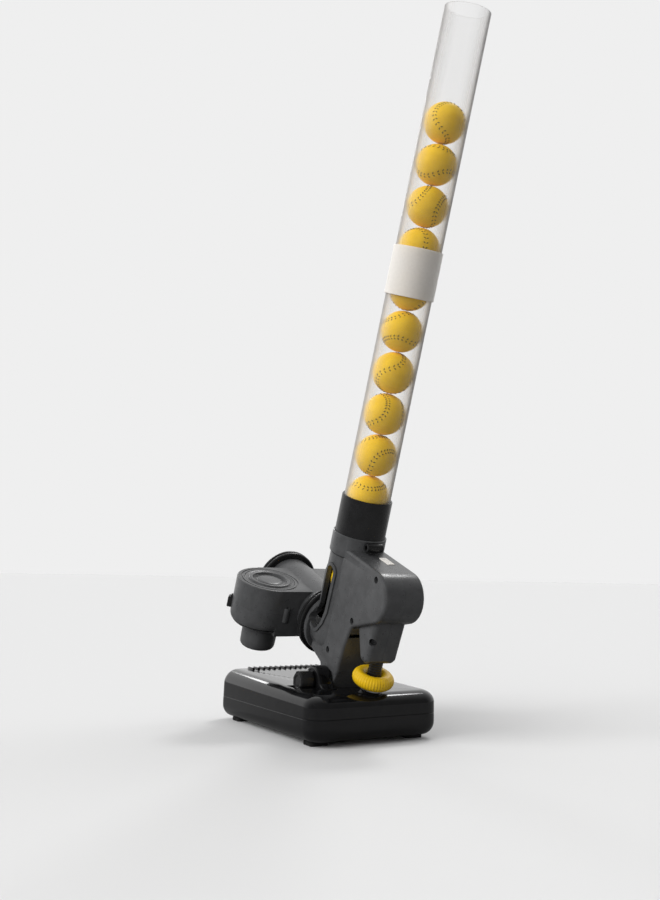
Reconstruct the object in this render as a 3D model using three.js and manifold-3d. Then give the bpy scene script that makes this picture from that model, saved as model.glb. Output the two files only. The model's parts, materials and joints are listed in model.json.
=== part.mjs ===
// A tabletop machine that pitches golf-ball-sized training baseballs.
//
// Millimetres, +Z up. +Y is the direction of the throw and +X the operator's right. The origin
// lies on the floor under the middle of the whole machine. The upper unit leans back by LEAN:
// inside its group +Y runs along the barrel, +Z runs up the feed tube, and the local origin is
// the point of the barrel axis where the head turns on the body.

import * as THREE from 'three';
import { mergeVertices } from 'three/addons/utils/BufferGeometryUtils.js';
import Module from 'manifold-3d';

const wasm = await Module();
wasm.setup();

// ---- Driving dimensions -------------------------------------------------------------------

const GAP = 0.3; // air left between neighbouring pieces
const ROUND = 20; // sides of a large round shape
const SMALL_ROUND = 10; // sides of a pin, a screw or a small bore
const BALL_D = 42.7;
const LEAN = THREE.MathUtils.degToRad(20.5);

// Base
const BASE_HALF_X = 71;
const BASE_HALF_Y = 109;
const BASE_CORNER_R = 19;
const BASE_WALL = 2.5;
const FOOT_H = 4;
const SEAM_Z = 24;
const DECK_FRONT_Z = 51; // the deck slopes down towards the operator
const DECK_REAR_Z = 43.5;
const DECK_EDGE_R = 14;
const PAN_EDGE_R = 12;

// Hinge between base and upper unit
const PIVOT_Y = -42;
const PIVOT_Z = 50.5;
const PIVOT_R = 5;
const EAR_R = 14;
const EAR_INNER_X = 22;
const EAR_OUTER_X = 37;
const KNOB_R = 10;
const KNOB_FACE_X = 53;
const BOLT_HEAD_R = 8;

// Upper unit, in its own leaning frame
const HEAD_JOINT = new THREE.Vector3(0, -10.3, 102.9);
const CHANNEL_Y = -21.3;
const CHANNEL_R = 26;
const CHANNEL_BORE_R = 22.3;
const BODY_HALF_X = 22;
const BODY_WALL = 2.4;
const HOUSING_TOP_Z = 91;
const HOUSING_END_Y = -100;
const HOUSING_END_Z = 67;
const HOUSING_END_R = 24;
const NECK_HALF_X = 20.5;
const COLLAR_BOTTOM_Z = 81;
const COLLAR_TOP_Z = 103.2;
const COLLAR_R = 27.6;
const FLANGE_R = 31;
const FLANGE_FACE_Y = 0.7;

// Feed tube
const CUP_R = 26;
const CUP_TOP_Z = 140.8;
const TUBE_R = 23.8;
const TUBE_BORE_R = 22.3;
const TUBE_SEAT_Z = 104;
const TUBE_LENGTH = 268.6;
const COUPLING_R = 25.4;
const COUPLING_LENGTH = 50;
const BALL_COUNT = 12;
const FIRST_BALL_Z = 56;
const BALL_PITCH = 42.8;

// Ball feeder
const ROTOR_Y = -48;
const ROTOR_Z = 24;
const ROTOR_R = 20;
const ROTOR_ROOM_R = 25; // clears the ring of teeth on the rotor's side
const ROTOR_HALF_X = 14;
const IDLER_Y = -75.6;
const IDLER_Z = 56.2;
const MOTOR_Y = -104;
const MOTOR_Z = 68;

// Throwing head
const WHEEL_X = 51;
const WHEEL_Y = 56.4;
const WHEEL_R = 32;
const DRUM_R = 35;
const DRUM_HALF_Z = 24;
const BARREL_R = 28.5;
const BARREL_BORE_R = 25;
const HEAD_START_Y = 10;
const BARREL_END_Y = 109;
const RING_R = 34.5;
const MUZZLE_R = 34.5;
const CAN_R = 19;
const CAN_BOTTOM_Z = -48;

// Elevation screw
const SCREW_Y = -97;
const SCREW_R = 6.7;
const THUMB_WHEEL_Z = -13.2;
const THUMB_WHEEL_R = 20.4;
const THUMB_WHEEL_HALF_T = 6.5;
const SEAT_CENTRE_Z = -35.1;
const SEAT_R = 15;
const SEAT_SIDES = 16;
const SEAT_BORE_R = 9.4; // leaves the rod room to swing with the tilt

// ---- Solids: three.js shapes, joined and cut with manifold-3d -------------------------------

function solid(geometry) {
  const bare = geometry.clone();
  bare.deleteAttribute('normal');
  bare.deleteAttribute('uv');
  const merged = mergeVertices(bare, 1e-4);
  return new wasm.Manifold(new wasm.Mesh({
    numProp: 3,
    vertProperties: new Float32Array(merged.attributes.position.array),
    triVerts: new Uint32Array(merged.index.array),
  }));
}

function geometryOf(manifold) {
  const mesh = manifold.getMesh();
  const geometry = new THREE.BufferGeometry();
  geometry.setAttribute('position', new THREE.BufferAttribute(mesh.vertProperties, 3));
  geometry.setIndex(new THREE.BufferAttribute(mesh.triVerts, 1));
  geometry.computeVertexNormals();
  return geometry;
}

const join = (...solids) => solids.reduce((all, one) => all.add(one));
const cut = (from, ...tools) => tools.reduce((rest, tool) => rest.subtract(tool), from);

function block(x0, x1, y0, y1, z0, z1) {
  const geometry = new THREE.BoxGeometry(x1 - x0, y1 - y0, z1 - z0);
  geometry.translate((x0 + x1) / 2, (y0 + y1) / 2, (z0 + z1) / 2);
  return solid(geometry);
}

// Turns a shape that stands along Y so that it stands along the named axis instead.
function standAlong(geometry, axis) {
  if (axis === 'z') geometry.rotateX(Math.PI / 2);
  if (axis === 'x') geometry.rotateZ(-Math.PI / 2);
  return geometry;
}

// A cylinder along an axis from `from` to `to`, around the point (u, v) of the plane
// across that axis: (y, z) for x, (x, z) for y, (x, y) for z.
function rod(axis, from, to, radius, u = 0, v = 0, sides = ROUND) {
  const geometry = standAlong(new THREE.CylinderGeometry(radius, radius, to - from, sides), axis);
  const middle = (from + to) / 2;
  if (axis === 'x') geometry.translate(middle, u, v);
  if (axis === 'y') geometry.translate(u, middle, v);
  if (axis === 'z') geometry.translate(u, v, middle);
  return solid(geometry);
}

// A closed lathe profile of [radius, height] pairs, turned around the named axis.
function turned(axis, profile, sides = ROUND) {
  const points = [...profile, profile[0]].map(([r, h]) => new THREE.Vector2(r, h));
  return standAlong(new THREE.LatheGeometry(points, sides), axis);
}

function pipe(length, outer, inner) {
  return turned('z', [[inner, 0], [outer, 0], [outer, length], [inner, length]]);
}

// A side profile drawn in the (y, z) plane and carried from x0 to x1. Where an arc starts on the
// last point, that point is used once.
function sidePlate(shape, x0, x1) {
  const outline = shape.getPoints(6);
  const apart = outline.filter((point, i) => point.distanceTo(outline.at(i - 1)) > 1e-3);
  const depth = x1 - x0;
  const geometry = new THREE.ExtrudeGeometry(new THREE.Shape(apart), { depth, bevelEnabled: false });
  const axes = new THREE.Matrix4().makeBasis(
    new THREE.Vector3(0, 1, 0), new THREE.Vector3(0, 0, 1), new THREE.Vector3(1, 0, 0));
  geometry.applyMatrix4(axes);
  geometry.translate(x0, 0, 0);
  return solid(geometry);
}

function polygon(points) {
  return new THREE.Shape(points.map(([u, v]) => new THREE.Vector2(u, v)));
}

function ball(radius, x, y, z, sides = ROUND) {
  const geometry = new THREE.SphereGeometry(radius, sides, sides / 2);
  geometry.translate(x, y, z);
  return solid(geometry);
}

// ---- Materials and the scene graph -----------------------------------------------------------

const finish = (color, roughness, metalness = 0) => ({ color, roughness, metalness });
const SATIN_GREY = finish(0x4a4b4d, 0.5);
const GLOSS_BLACK = finish(0x0c0c0d, 0.12);
const SATIN_BLACK = finish(0x161617, 0.38);
const RUBBER_BLACK = finish(0x121212, 0.85);
const BALL_YELLOW = finish(0xf2b21b, 0.55);
const WHEEL_YELLOW = finish(0xe2b616, 0.4);
const CLEAR = finish(0xe6e3de, 0.2);
const FROSTED = finish(0xe3ded6, 0.45);
const STEEL = finish(0x9a9c9e, 0.35, 1);
const BOARD_GREEN = finish(0x1f5a34, 0.55);
const BATTERY = finish(0x8f9398, 0.3, 0.8);
const GEAR_WHITE = finish(0xdedcd2, 0.5);

const machine = new THREE.Group();
const upperUnit = new THREE.Group();
upperUnit.position.copy(HEAD_JOINT);
upperUnit.rotation.x = LEAN;
machine.add(upperUnit);

function piece(parent, name, shape, { color, roughness, metalness }, at = [0, 0, 0]) {
  const geometry = shape.isBufferGeometry ? shape : geometryOf(shape);
  const mesh = new THREE.Mesh(geometry, new THREE.MeshStandardMaterial({ color, roughness, metalness }));
  mesh.name = name;
  mesh.position.set(...at);
  parent.add(mesh);
}

// ---- Base ------------------------------------------------------------------------------------

// Height of the sloping deck above the floor.
function deckZ(y) {
  return THREE.MathUtils.mapLinear(y, -BASE_HALF_Y, BASE_HALF_Y, DECK_REAR_Z, DECK_FRONT_Z);
}

function roundedRectangle(halfX, halfY, radius) {
  const shape = new THREE.Shape();
  shape.absarc(halfX - radius, halfY - radius, radius, 0, Math.PI / 2);
  shape.absarc(radius - halfX, halfY - radius, radius, Math.PI / 2, Math.PI);
  shape.absarc(radius - halfX, radius - halfY, radius, Math.PI, 1.5 * Math.PI);
  shape.absarc(halfX - radius, radius - halfY, radius, 1.5 * Math.PI, 2 * Math.PI);
  return shape;
}

// A block standing on z = 0 with upright sides and a rim that is rounded off by edgeR on top.
function pillow(halfX, halfY, cornerR, height, edgeR) {
  const inset = roundedRectangle(halfX - edgeR, halfY - edgeR, Math.max(cornerR - edgeR, 1));
  const geometry = new THREE.ExtrudeGeometry(inset, {
    depth: 2 * (height - edgeR),
    bevelThickness: edgeR,
    bevelSize: edgeR,
    bevelSegments: 3,
    curveSegments: 4,
  });
  geometry.translate(0, 0, edgeR - height);
  const upperHalf = block(-halfX - 1, halfX + 1, -halfY - 1, halfY + 1, 0, height + 1);
  return geometryOf(solid(geometry).intersect(upperHalf));
}

// The upper half of the base, stretched so that its top follows the sloping deck.
function deckBlock(inset) {
  const height = DECK_FRONT_Z - SEAM_Z;
  const geometry = pillow(BASE_HALF_X - inset, BASE_HALF_Y - inset, BASE_CORNER_R - inset,
    height - inset, DECK_EDGE_R - inset);
  const points = geometry.attributes.position;
  for (let i = 0; i < points.count; i += 1) {
    const slope = (deckZ(points.getY(i)) - SEAM_Z) / height;
    points.setZ(i, SEAM_Z + points.getZ(i) * slope);
  }
  return solid(geometry);
}

function panBlock(inset) {
  const height = SEAM_Z - FOOT_H;
  const geometry = pillow(BASE_HALF_X - inset, BASE_HALF_Y - inset, BASE_CORNER_R - inset,
    height - inset, PAN_EDGE_R - inset);
  geometry.rotateX(Math.PI);
  geometry.translate(0, 0, SEAM_Z);
  return solid(geometry);
}

// Side view of a hinge ear: a round head on a wide foot.
function earProfile() {
  const shape = new THREE.Shape();
  shape.moveTo(PIVOT_Y - 24, deckZ(PIVOT_Y) - 4);
  shape.lineTo(PIVOT_Y + 30, deckZ(PIVOT_Y) - 4);
  shape.lineTo(PIVOT_Y + 30, deckZ(PIVOT_Y) + 1);
  shape.absarc(PIVOT_Y, PIVOT_Z, EAR_R, Math.PI / 3, Math.PI, false);
  shape.lineTo(PIVOT_Y - 24, deckZ(PIVOT_Y) + 1);
  return shape;
}

const RIB_COUNT = 14;
const RIB_PITCH = 6.4;
const RIB_HEIGHT = 1.7;
const RIB_LENGTH = 15;
const RIB_FRONT_Y = 98;

function gripRibs() {
  const crown = polygon([[-2.2, -1.5], [2.2, -1.5], [1.1, RIB_HEIGHT], [-1.1, RIB_HEIGHT]]);
  const ribs = Array.from({ length: RIB_COUNT }, (_, i) => {
    const geometry = new THREE.ExtrudeGeometry(crown, { depth: RIB_LENGTH, bevelEnabled: false });
    const x = (i - (RIB_COUNT - 1) / 2) * RIB_PITCH;
    geometry.rotateX(Math.PI / 2);
    geometry.translate(x, RIB_FRONT_Y, deckZ(RIB_FRONT_Y - RIB_LENGTH / 2));
    return solid(geometry);
  });
  return join(...ribs);
}

const seatCentre = new THREE.Vector3(0, SCREW_Y, SEAT_CENTRE_Z)
  .applyAxisAngle(new THREE.Vector3(1, 0, 0), LEAN).add(HEAD_JOINT);

const SWITCH_Y = -62;
const SWITCH_Z = 30;
const JACK_Y = -84;
const JACK_Z = 31;
const JACK_R = 5.5;
const FAR = 300; // beyond the machine on every side

function baseDeck() {
  const well = block(-62, 62, PIVOT_Y - 17, PIVOT_Y + 15, PIVOT_Z - 14, deckZ(PIVOT_Y) - 1);
  const shell = join(cut(deckBlock(0), deckBlock(BASE_WALL)), well);
  const ears = [-1, 1].map((side) => sidePlate(earProfile(),
    side < 0 ? -EAR_OUTER_X : EAR_INNER_X, side < 0 ? -EAR_INNER_X : EAR_OUTER_X));
  const seamCut = block(-FAR, FAR, -FAR, FAR, 0, SEAM_Z + GAP / 2);
  return cut(join(shell, ...ears, gripRibs()),
    seamCut,
    block(-EAR_INNER_X, EAR_INNER_X, PIVOT_Y - 18, PIVOT_Y + 16, 20, 80),
    rod('x', -EAR_OUTER_X - 2, EAR_OUTER_X + 2, PIVOT_R + GAP, PIVOT_Y, PIVOT_Z),
    rod('x', -KNOB_FACE_X - 6, -EAR_OUTER_X, KNOB_R + 1, PIVOT_Y, PIVOT_Z),
    rod('x', EAR_OUTER_X, EAR_OUTER_X + 12, BOLT_HEAD_R + 1.5, PIVOT_Y, PIVOT_Z),
    ball(SEAT_R + GAP, seatCentre.x, seatCentre.y, seatCentre.z, SEAT_SIDES),
    block(BASE_HALF_X - 4, BASE_HALF_X + 1, SWITCH_Y - 7, SWITCH_Y + 7, SWITCH_Z - 3.5, SWITCH_Z + 3.5),
    rod('x', BASE_HALF_X - 4, BASE_HALF_X + 1, JACK_R + GAP, JACK_Y, JACK_Z));
}

const DOOR_HALF_X = 37;
const DOOR_REAR_Y = -27;
const DOOR_FRONT_Y = 91;
const DOOR_TRAVEL = 8;

function basePan() {
  const shell = cut(panBlock(0), panBlock(BASE_WALL));
  return cut(shell,
    block(-FAR, FAR, -FAR, FAR, SEAM_Z - GAP / 2, SEAM_Z + 2),
    block(-DOOR_HALF_X - GAP, DOOR_HALF_X + GAP, DOOR_REAR_Y - GAP, DOOR_FRONT_Y + GAP + DOOR_TRAVEL,
      FOOT_H - 1, FOOT_H + BASE_WALL + 1));
}

const FOOT_X = 52;
const FOOT_Y = 82;
const FOOT_HALF = 9;

function foot() {
  return new THREE.ExtrudeGeometry(roundedRectangle(FOOT_HALF, FOOT_HALF, 3), {
    depth: FOOT_H - GAP, bevelEnabled: false, curveSegments: 3,
  });
}

const CELL_R = 16.3;
const CELL_LENGTH = 58.5;
const CELLS_REAR_Y = -25;
const CELL_CONTACT_R = 5;
const CELL_CONTACT_H = 2.6;
const BOARD_BOX = [44, 66, -30, 24, 11, 12.6]; // its limits along x, y and z

// A torch cell lying along Y, with its raised contact at the +Y end.
function batteryCell() {
  const tip = CELL_LENGTH + CELL_CONTACT_H;
  return turned('y', [[0, 0], [CELL_R, 0], [CELL_R, CELL_LENGTH], [CELL_CONTACT_R, CELL_LENGTH],
    [CELL_CONTACT_R, tip], [0, tip]]);
}

function buildBase() {
  piece(machine, 'base_deck', baseDeck(), GLOSS_BLACK);
  piece(machine, 'base_pan', basePan(), GLOSS_BLACK);
  const door = block(-DOOR_HALF_X, DOOR_HALF_X, DOOR_REAR_Y, DOOR_FRONT_Y,
    FOOT_H + GAP, FOOT_H + BASE_WALL);
  piece(machine, 'battery_door', door, SATIN_BLACK);
  for (const [end, y] of [['front', FOOT_Y], ['rear', -FOOT_Y]]) {
    for (const [side, x] of [['left', -FOOT_X], ['right', FOOT_X]]) {
      piece(machine, `foot_${end}_${side}`, foot(), RUBBER_BLACK, [x, y, 0]);
    }
  }
  const pitchX = CELL_R + 0.6;
  const pitchY = CELL_LENGTH + 3.4;
  const cellZ = FOOT_H + BASE_WALL + CELL_R + 1;
  let number = 1;
  for (const y of [CELLS_REAR_Y, CELLS_REAR_Y + pitchY]) {
    for (const x of [-pitchX, pitchX]) {
      piece(machine, `battery_cell_${number}`, batteryCell(), BATTERY, [x, y, cellZ]);
      number += 1;
    }
  }
}

// The circuit board, and the switch and the socket in the right-hand wall.
function buildPower() {
  piece(machine, 'circuit_board', block(...BOARD_BOX), BOARD_GREEN);
  const innerX = BASE_HALF_X - 5.5;
  const plate = block(innerX, innerX + 1.2, SWITCH_Y - 9, SWITCH_Y + 9, SWITCH_Z - 4, SWITCH_Z + 4);
  const button = block(innerX, BASE_HALF_X + 1.5, SWITCH_Y - 5.6, SWITCH_Y + 0.4,
    SWITCH_Z - 3, SWITCH_Z + 3);
  piece(machine, 'power_switch', join(plate, button), SATIN_BLACK);
  const jack = turned('x', [[1.2, 0], [JACK_R, 0], [JACK_R, 14], [3, 14], [3, 4], [1.2, 4]]);
  piece(machine, 'power_jack', jack, SATIN_BLACK, [BASE_HALF_X - 14.2, JACK_Y, JACK_Z]);
}

// ---- Hinge hardware ----------------------------------------------------------------------------

function clampKnob() {
  const lobes = 8;
  const grip = rod('x', -KNOB_FACE_X, -EAR_OUTER_X - 1, KNOB_R, PIVOT_Y, PIVOT_Z);
  const notches = Array.from({ length: lobes }, (_, i) => {
    const angle = (i * 2 * Math.PI) / lobes;
    return rod('x', -KNOB_FACE_X - 1, -EAR_OUTER_X - 4, 2,
      PIVOT_Y + 11 * Math.cos(angle), PIVOT_Z + 11 * Math.sin(angle), 8);
  });
  const socket = rod('x', -KNOB_FACE_X + 5, -EAR_OUTER_X, PIVOT_R + GAP, PIVOT_Y, PIVOT_Z);
  return cut(grip, ...notches, socket);
}

function buildHinge() {
  const shank = rod('x', -KNOB_FACE_X + 6, EAR_OUTER_X + 1, PIVOT_R, PIVOT_Y, PIVOT_Z);
  const head = rod('x', EAR_OUTER_X + GAP, EAR_OUTER_X + 6, BOLT_HEAD_R, PIVOT_Y, PIVOT_Z, 6);
  piece(machine, 'pivot_bolt', join(shank, head), STEEL);
  piece(machine, 'pivot_knob', clampKnob(), SATIN_BLACK);
}

// ---- Body: two shells that hold the ball channel, the feeder and the screw lug -------------------

const PIVOT_LOCAL = new THREE.Vector3(0, PIVOT_Y, PIVOT_Z).sub(HEAD_JOINT)
  .applyAxisAngle(new THREE.Vector3(1, 0, 0), -LEAN);

// Side view of the rear housing and the neck that comes down from it to the hinge.
function bodyProfile(inset) {
  const p = PIVOT_LOCAL;
  const hingeR = 11.5 - inset;
  const shape = new THREE.Shape();
  shape.moveTo(-6 - inset, -23 + inset);
  shape.lineTo(-6 - inset, 20);
  shape.lineTo(CHANNEL_Y, 20);
  shape.lineTo(CHANNEL_Y, HOUSING_TOP_Z - inset);
  shape.absarc(HOUSING_END_Y, HOUSING_END_Z, HOUSING_END_R - inset, Math.PI / 2, 1.345 * Math.PI, false);
  shape.lineTo(-75 + inset, 26.5 + inset / 2);
  shape.lineTo(-72 + inset, 18);
  shape.lineTo(-67.5 + inset, 0);
  shape.lineTo(-65.5 + inset, -22);
  shape.absarc(p.y, p.z, hingeR, Math.PI, 2 * Math.PI, false);
  shape.lineTo(-29 - inset, -28);
  return shape;
}

// The opening in the side of the channel: a slot that runs down and turns forwards like the balls.
function slotProfile() {
  const shape = new THREE.Shape();
  shape.moveTo(-17, 63);
  shape.lineTo(-17, 28);
  shape.lineTo(-8, 19);
  shape.absarc(-13, 10, 9, 0.25 * Math.PI, -0.75 * Math.PI, true);
  shape.lineTo(-27.5, 21);
  shape.lineTo(-29, 63);
  shape.absarc(-23, 63, 6, Math.PI, 0, true);
  return shape;
}

const LUG_SCREW_Z = 26;
const LUG_SCREW_TURN = 30; // degrees, from straight across towards the rear left corner
const LUG_SCREW_R = 2;
const LUG_SCREW_HEAD_R = 3.1;

// A round bar through the threaded rod, along the set screw of the lug.
function lugRod(from, to, radius) {
  return rod('x', from, to, radius, 0, LUG_SCREW_Z, SMALL_ROUND)
    .rotate([0, 0, LUG_SCREW_TURN])
    .translate([0, SCREW_Y, 0]);
}

function screwLug() {
  const shape = polygon([[-68, 45], [-78, 28], [-89, 8], [-93, 3], [-102, 3], [-105.5, 7], [-110, 52]]);
  return sidePlate(shape, -17, 17);
}

function bodyOuter() {
  const upper = sidePlate(bodyProfile(0), -BODY_HALF_X, BODY_HALF_X);
  const narrowNeck = [-1, 1].map((side) => block(side < 0 ? -BODY_HALF_X - 1 : NECK_HALF_X,
    side < 0 ? -NECK_HALF_X : BODY_HALF_X + 1, -70, -20, -60, -23));
  return join(cut(upper, ...narrowNeck),
    rod('z', -3, COLLAR_BOTTOM_Z + 1, CHANNEL_R, 0, CHANNEL_Y),
    rod('z', COLLAR_BOTTOM_Z, COLLAR_TOP_Z, COLLAR_R, 0, CHANNEL_Y),
    rod('y', CHANNEL_Y, FLANGE_FACE_Y, CHANNEL_R, 0, 0),
    rod('y', -5, FLANGE_FACE_Y, FLANGE_R, 0, 0),
    screwLug());
}

const SHELL_SCREWS = [['rear', -101, 84], ['middle', -74, 33], ['neck', -41, -10]];
const SHELL_SCREW_R = 1.6;
const SCREW_HEAD_R = 3;
const SCREW_POST_R = 3.8;
const MOTOR_R = 12;
const LENS = { x: 6.6, y: -70, halfX: 4, halfY: 9 };

function bodyInner() {
  const channelWall = rod('z', 32, COLLAR_BOTTOM_Z, CHANNEL_R - 1, 0, CHANNEL_Y);
  const hub = rod('x', -BODY_HALF_X, BODY_HALF_X, PIVOT_R + 4, PIVOT_LOCAL.y, PIVOT_LOCAL.z);
  const posts = SHELL_SCREWS.map(([, y, z]) => (
    rod('x', -BODY_HALF_X, BODY_HALF_X, SCREW_POST_R, y, z, SMALL_ROUND)));
  const hollow = sidePlate(bodyProfile(BODY_WALL), -BODY_HALF_X + BODY_WALL, BODY_HALF_X - BODY_WALL);
  return cut(hollow, channelWall, hub, ...posts);
}

function body() {
  const screws = SHELL_SCREWS.flatMap(([, y, z]) => [
    rod('x', -BODY_HALF_X - 1, 14, SHELL_SCREW_R + GAP, y, z, SMALL_ROUND),
    rod('x', -BODY_HALF_X - 1, -18, SCREW_HEAD_R + GAP, y, z, SMALL_ROUND),
  ]);
  const ringRoom = block(-40, 40, FLANGE_FACE_Y, 20, -50, RING_R + 2);
  return cut(bodyOuter(), bodyInner(), ringRoom,
    rod('z', 0, COLLAR_BOTTOM_Z + 2, CHANNEL_BORE_R, 0, CHANNEL_Y),
    rod('z', COLLAR_BOTTOM_Z, COLLAR_TOP_Z + 1, CUP_R + GAP, 0, CHANNEL_Y),
    ball(CHANNEL_BORE_R, 0, CHANNEL_Y, 0),
    rod('y', CHANNEL_Y, 5, CHANNEL_BORE_R, 0, 0),
    rod('x', -BODY_HALF_X + BODY_WALL, ROTOR_HALF_X + 1, ROTOR_ROOM_R, ROTOR_Y, ROTOR_Z),
    sidePlate(slotProfile(), -CHANNEL_R - 6, -10),
    rod('x', -BODY_HALF_X - 1, BODY_HALF_X + 1, PIVOT_R + GAP, PIVOT_LOCAL.y, PIVOT_LOCAL.z),
    rod('z', 0, 44, SCREW_R + GAP, 0, SCREW_Y),
    lugRod(-20, 18, LUG_SCREW_R + GAP),
    lugRod(-22, -13.2, LUG_SCREW_HEAD_R + GAP),
    block(LENS.x - LENS.halfX - GAP, LENS.x + LENS.halfX + GAP, LENS.y - LENS.halfY - GAP,
      LENS.y + LENS.halfY + GAP, HOUSING_TOP_Z - 4, HOUSING_TOP_Z + 1),
    ...screws);
}

const CLAMP = { y: -52.4, z: 98, r: 4.6, from: -9, to: 9 };

function buildBody() {
  const whole = cut(body(),
    rod('x', CLAMP.from - GAP, CLAMP.to + GAP, CLAMP.r + GAP, CLAMP.y, CLAMP.z));
  const leftHalf = block(-FAR, -GAP / 2, -FAR, FAR, -FAR, FAR);
  const rightHalf = block(GAP / 2, FAR, -FAR, FAR, -FAR, FAR);
  piece(upperUnit, 'body_shell_left', whole.intersect(leftHalf), SATIN_GREY);
  piece(upperUnit, 'body_shell_right', whole.intersect(rightHalf), SATIN_GREY);
  for (const [place, y, z] of SHELL_SCREWS) {
    const shank = rod('x', -19, 12, SHELL_SCREW_R, y, z, SMALL_ROUND);
    const head = rod('x', -20.5, -18.3, SCREW_HEAD_R, y, z, SMALL_ROUND);
    piece(upperUnit, `shell_screw_${place}`, join(shank, head), STEEL);
  }
  const clampScrew = rod('x', CLAMP.from, CLAMP.to, CLAMP.r, CLAMP.y, CLAMP.z);
  piece(upperUnit, 'collar_screw', clampScrew, SATIN_BLACK);
  const lens = block(LENS.x - LENS.halfX, LENS.x + LENS.halfX, LENS.y - LENS.halfY,
    LENS.y + LENS.halfY, HOUSING_TOP_Z - 3, HOUSING_TOP_Z + 0.8);
  piece(upperUnit, 'indicator_lens', lens, FROSTED);
}

// ---- Ball feeder ---------------------------------------------------------------------------------

const GEAR_MODULE = 1.55;
const GEAR_FACE = [-17.5, -14];

// A spur gear around the X axis, with plain slots for the gaps between its teeth.
function gear(teeth) {
  const tip = (GEAR_MODULE * teeth) / 2;
  const root = tip - 2;
  const step = (2 * Math.PI) / teeth;
  const points = [];
  for (let i = 0; i < teeth; i += 1) {
    for (const [part, radius] of [[0.1, root], [0.3, tip], [0.65, tip], [0.85, root]]) {
      points.push([radius * Math.cos((i + part) * step), radius * Math.sin((i + part) * step)]);
    }
  }
  return sidePlate(polygon(points), ...GEAR_FACE);
}

// The rotor holds the stack of balls back and carries one ball past in its pocket each turn.
function feedRotor() {
  const drum = rod('x', -ROTOR_HALF_X, ROTOR_HALF_X, ROTOR_R, 0, 0);
  const axleEnd = BODY_HALF_X - BODY_WALL - GAP;
  const axle = rod('x', -axleEnd, axleEnd, 3, 0, 0, SMALL_ROUND);
  const pocket = ball(BALL_D / 2 + 0.6, 0, -26, 6);
  const recess = rod('x', ROTOR_HALF_X - 1.6, ROTOR_HALF_X + 1, ROTOR_R - 9, 0, 0);
  return join(cut(drum, pocket, recess), axle);
}

function buildFeeder() {
  const rotor = join(feedRotor(), gear(30));
  piece(upperUnit, 'feed_rotor', rotor, SATIN_BLACK, [0, ROTOR_Y, ROTOR_Z]);
  const idler = join(gear(24), rod('x', -19, 12, 2.5, 0, 0, SMALL_ROUND));
  piece(upperUnit, 'idler_gear', idler, GEAR_WHITE, [0, IDLER_Y, IDLER_Z]);
  const pinion = join(gear(15), rod('x', -15, -7, 2, 0, 0, SMALL_ROUND));
  piece(upperUnit, 'motor_pinion', pinion, GEAR_WHITE, [0, MOTOR_Y, MOTOR_Z]);
  const motor = rod('x', -6.5, 18.5, MOTOR_R, 0, 0);
  piece(upperUnit, 'feed_motor', motor, STEEL, [0, MOTOR_Y, MOTOR_Z]);
}

// ---- Elevation screw -----------------------------------------------------------------------------

const NUT_BORE_R = SCREW_R + 0.4;
const WASHER_R = 12;
const WASHER_T = 2.4;

function thumbWheel() {
  return turned('z', [[NUT_BORE_R, -THUMB_WHEEL_HALF_T], [15, -THUMB_WHEEL_HALF_T], [19.3, -4.4],
    [THUMB_WHEEL_R, -1.5], [THUMB_WHEEL_R, 1.5], [19.3, 4.4], [15, THUMB_WHEEL_HALF_T],
    [NUT_BORE_R, THUMB_WHEEL_HALF_T]]);
}

function rodSeat() {
  const up = new THREE.Vector3(0, -Math.sin(LEAN), Math.cos(LEAN));
  const bore = new THREE.CylinderGeometry(SEAT_BORE_R, SEAT_BORE_R, 20, ROUND);
  bore.rotateX(Math.PI / 2 + LEAN);
  const { x, y, z } = seatCentre;
  bore.translate(x, y + 14 * up.y, z + 14 * up.z);
  const aboveSole = block(-FAR, FAR, -FAR, FAR, z - 9, FAR);
  return cut(ball(SEAT_R, x, y, z, SEAT_SIDES).intersect(aboveSole), solid(bore));
}

function buildElevationScrew() {
  const threaded = cut(rod('z', -24, 42, SCREW_R, 0, SCREW_Y), lugRod(-18, 18, LUG_SCREW_R + GAP));
  piece(upperUnit, 'threaded_rod', threaded, SATIN_BLACK);
  const setScrew = join(lugRod(-15.5, 16.5, LUG_SCREW_R), lugRod(-15.8, -13.5, LUG_SCREW_HEAD_R));
  piece(upperUnit, 'lug_screw', setScrew, STEEL);
  piece(upperUnit, 'height_wheel', thumbWheel(), WHEEL_YELLOW, [0, SCREW_Y, THUMB_WHEEL_Z]);
  const washerTop = THUMB_WHEEL_Z - THUMB_WHEEL_HALF_T - GAP;
  const washer = pipe(WASHER_T, WASHER_R, NUT_BORE_R);
  piece(upperUnit, 'seat_washer', washer, STEEL, [0, SCREW_Y, washerTop - WASHER_T]);
  piece(machine, 'rod_seat', rodSeat(), GLOSS_BLACK);
}

// ---- Feed tube -----------------------------------------------------------------------------------

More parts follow.
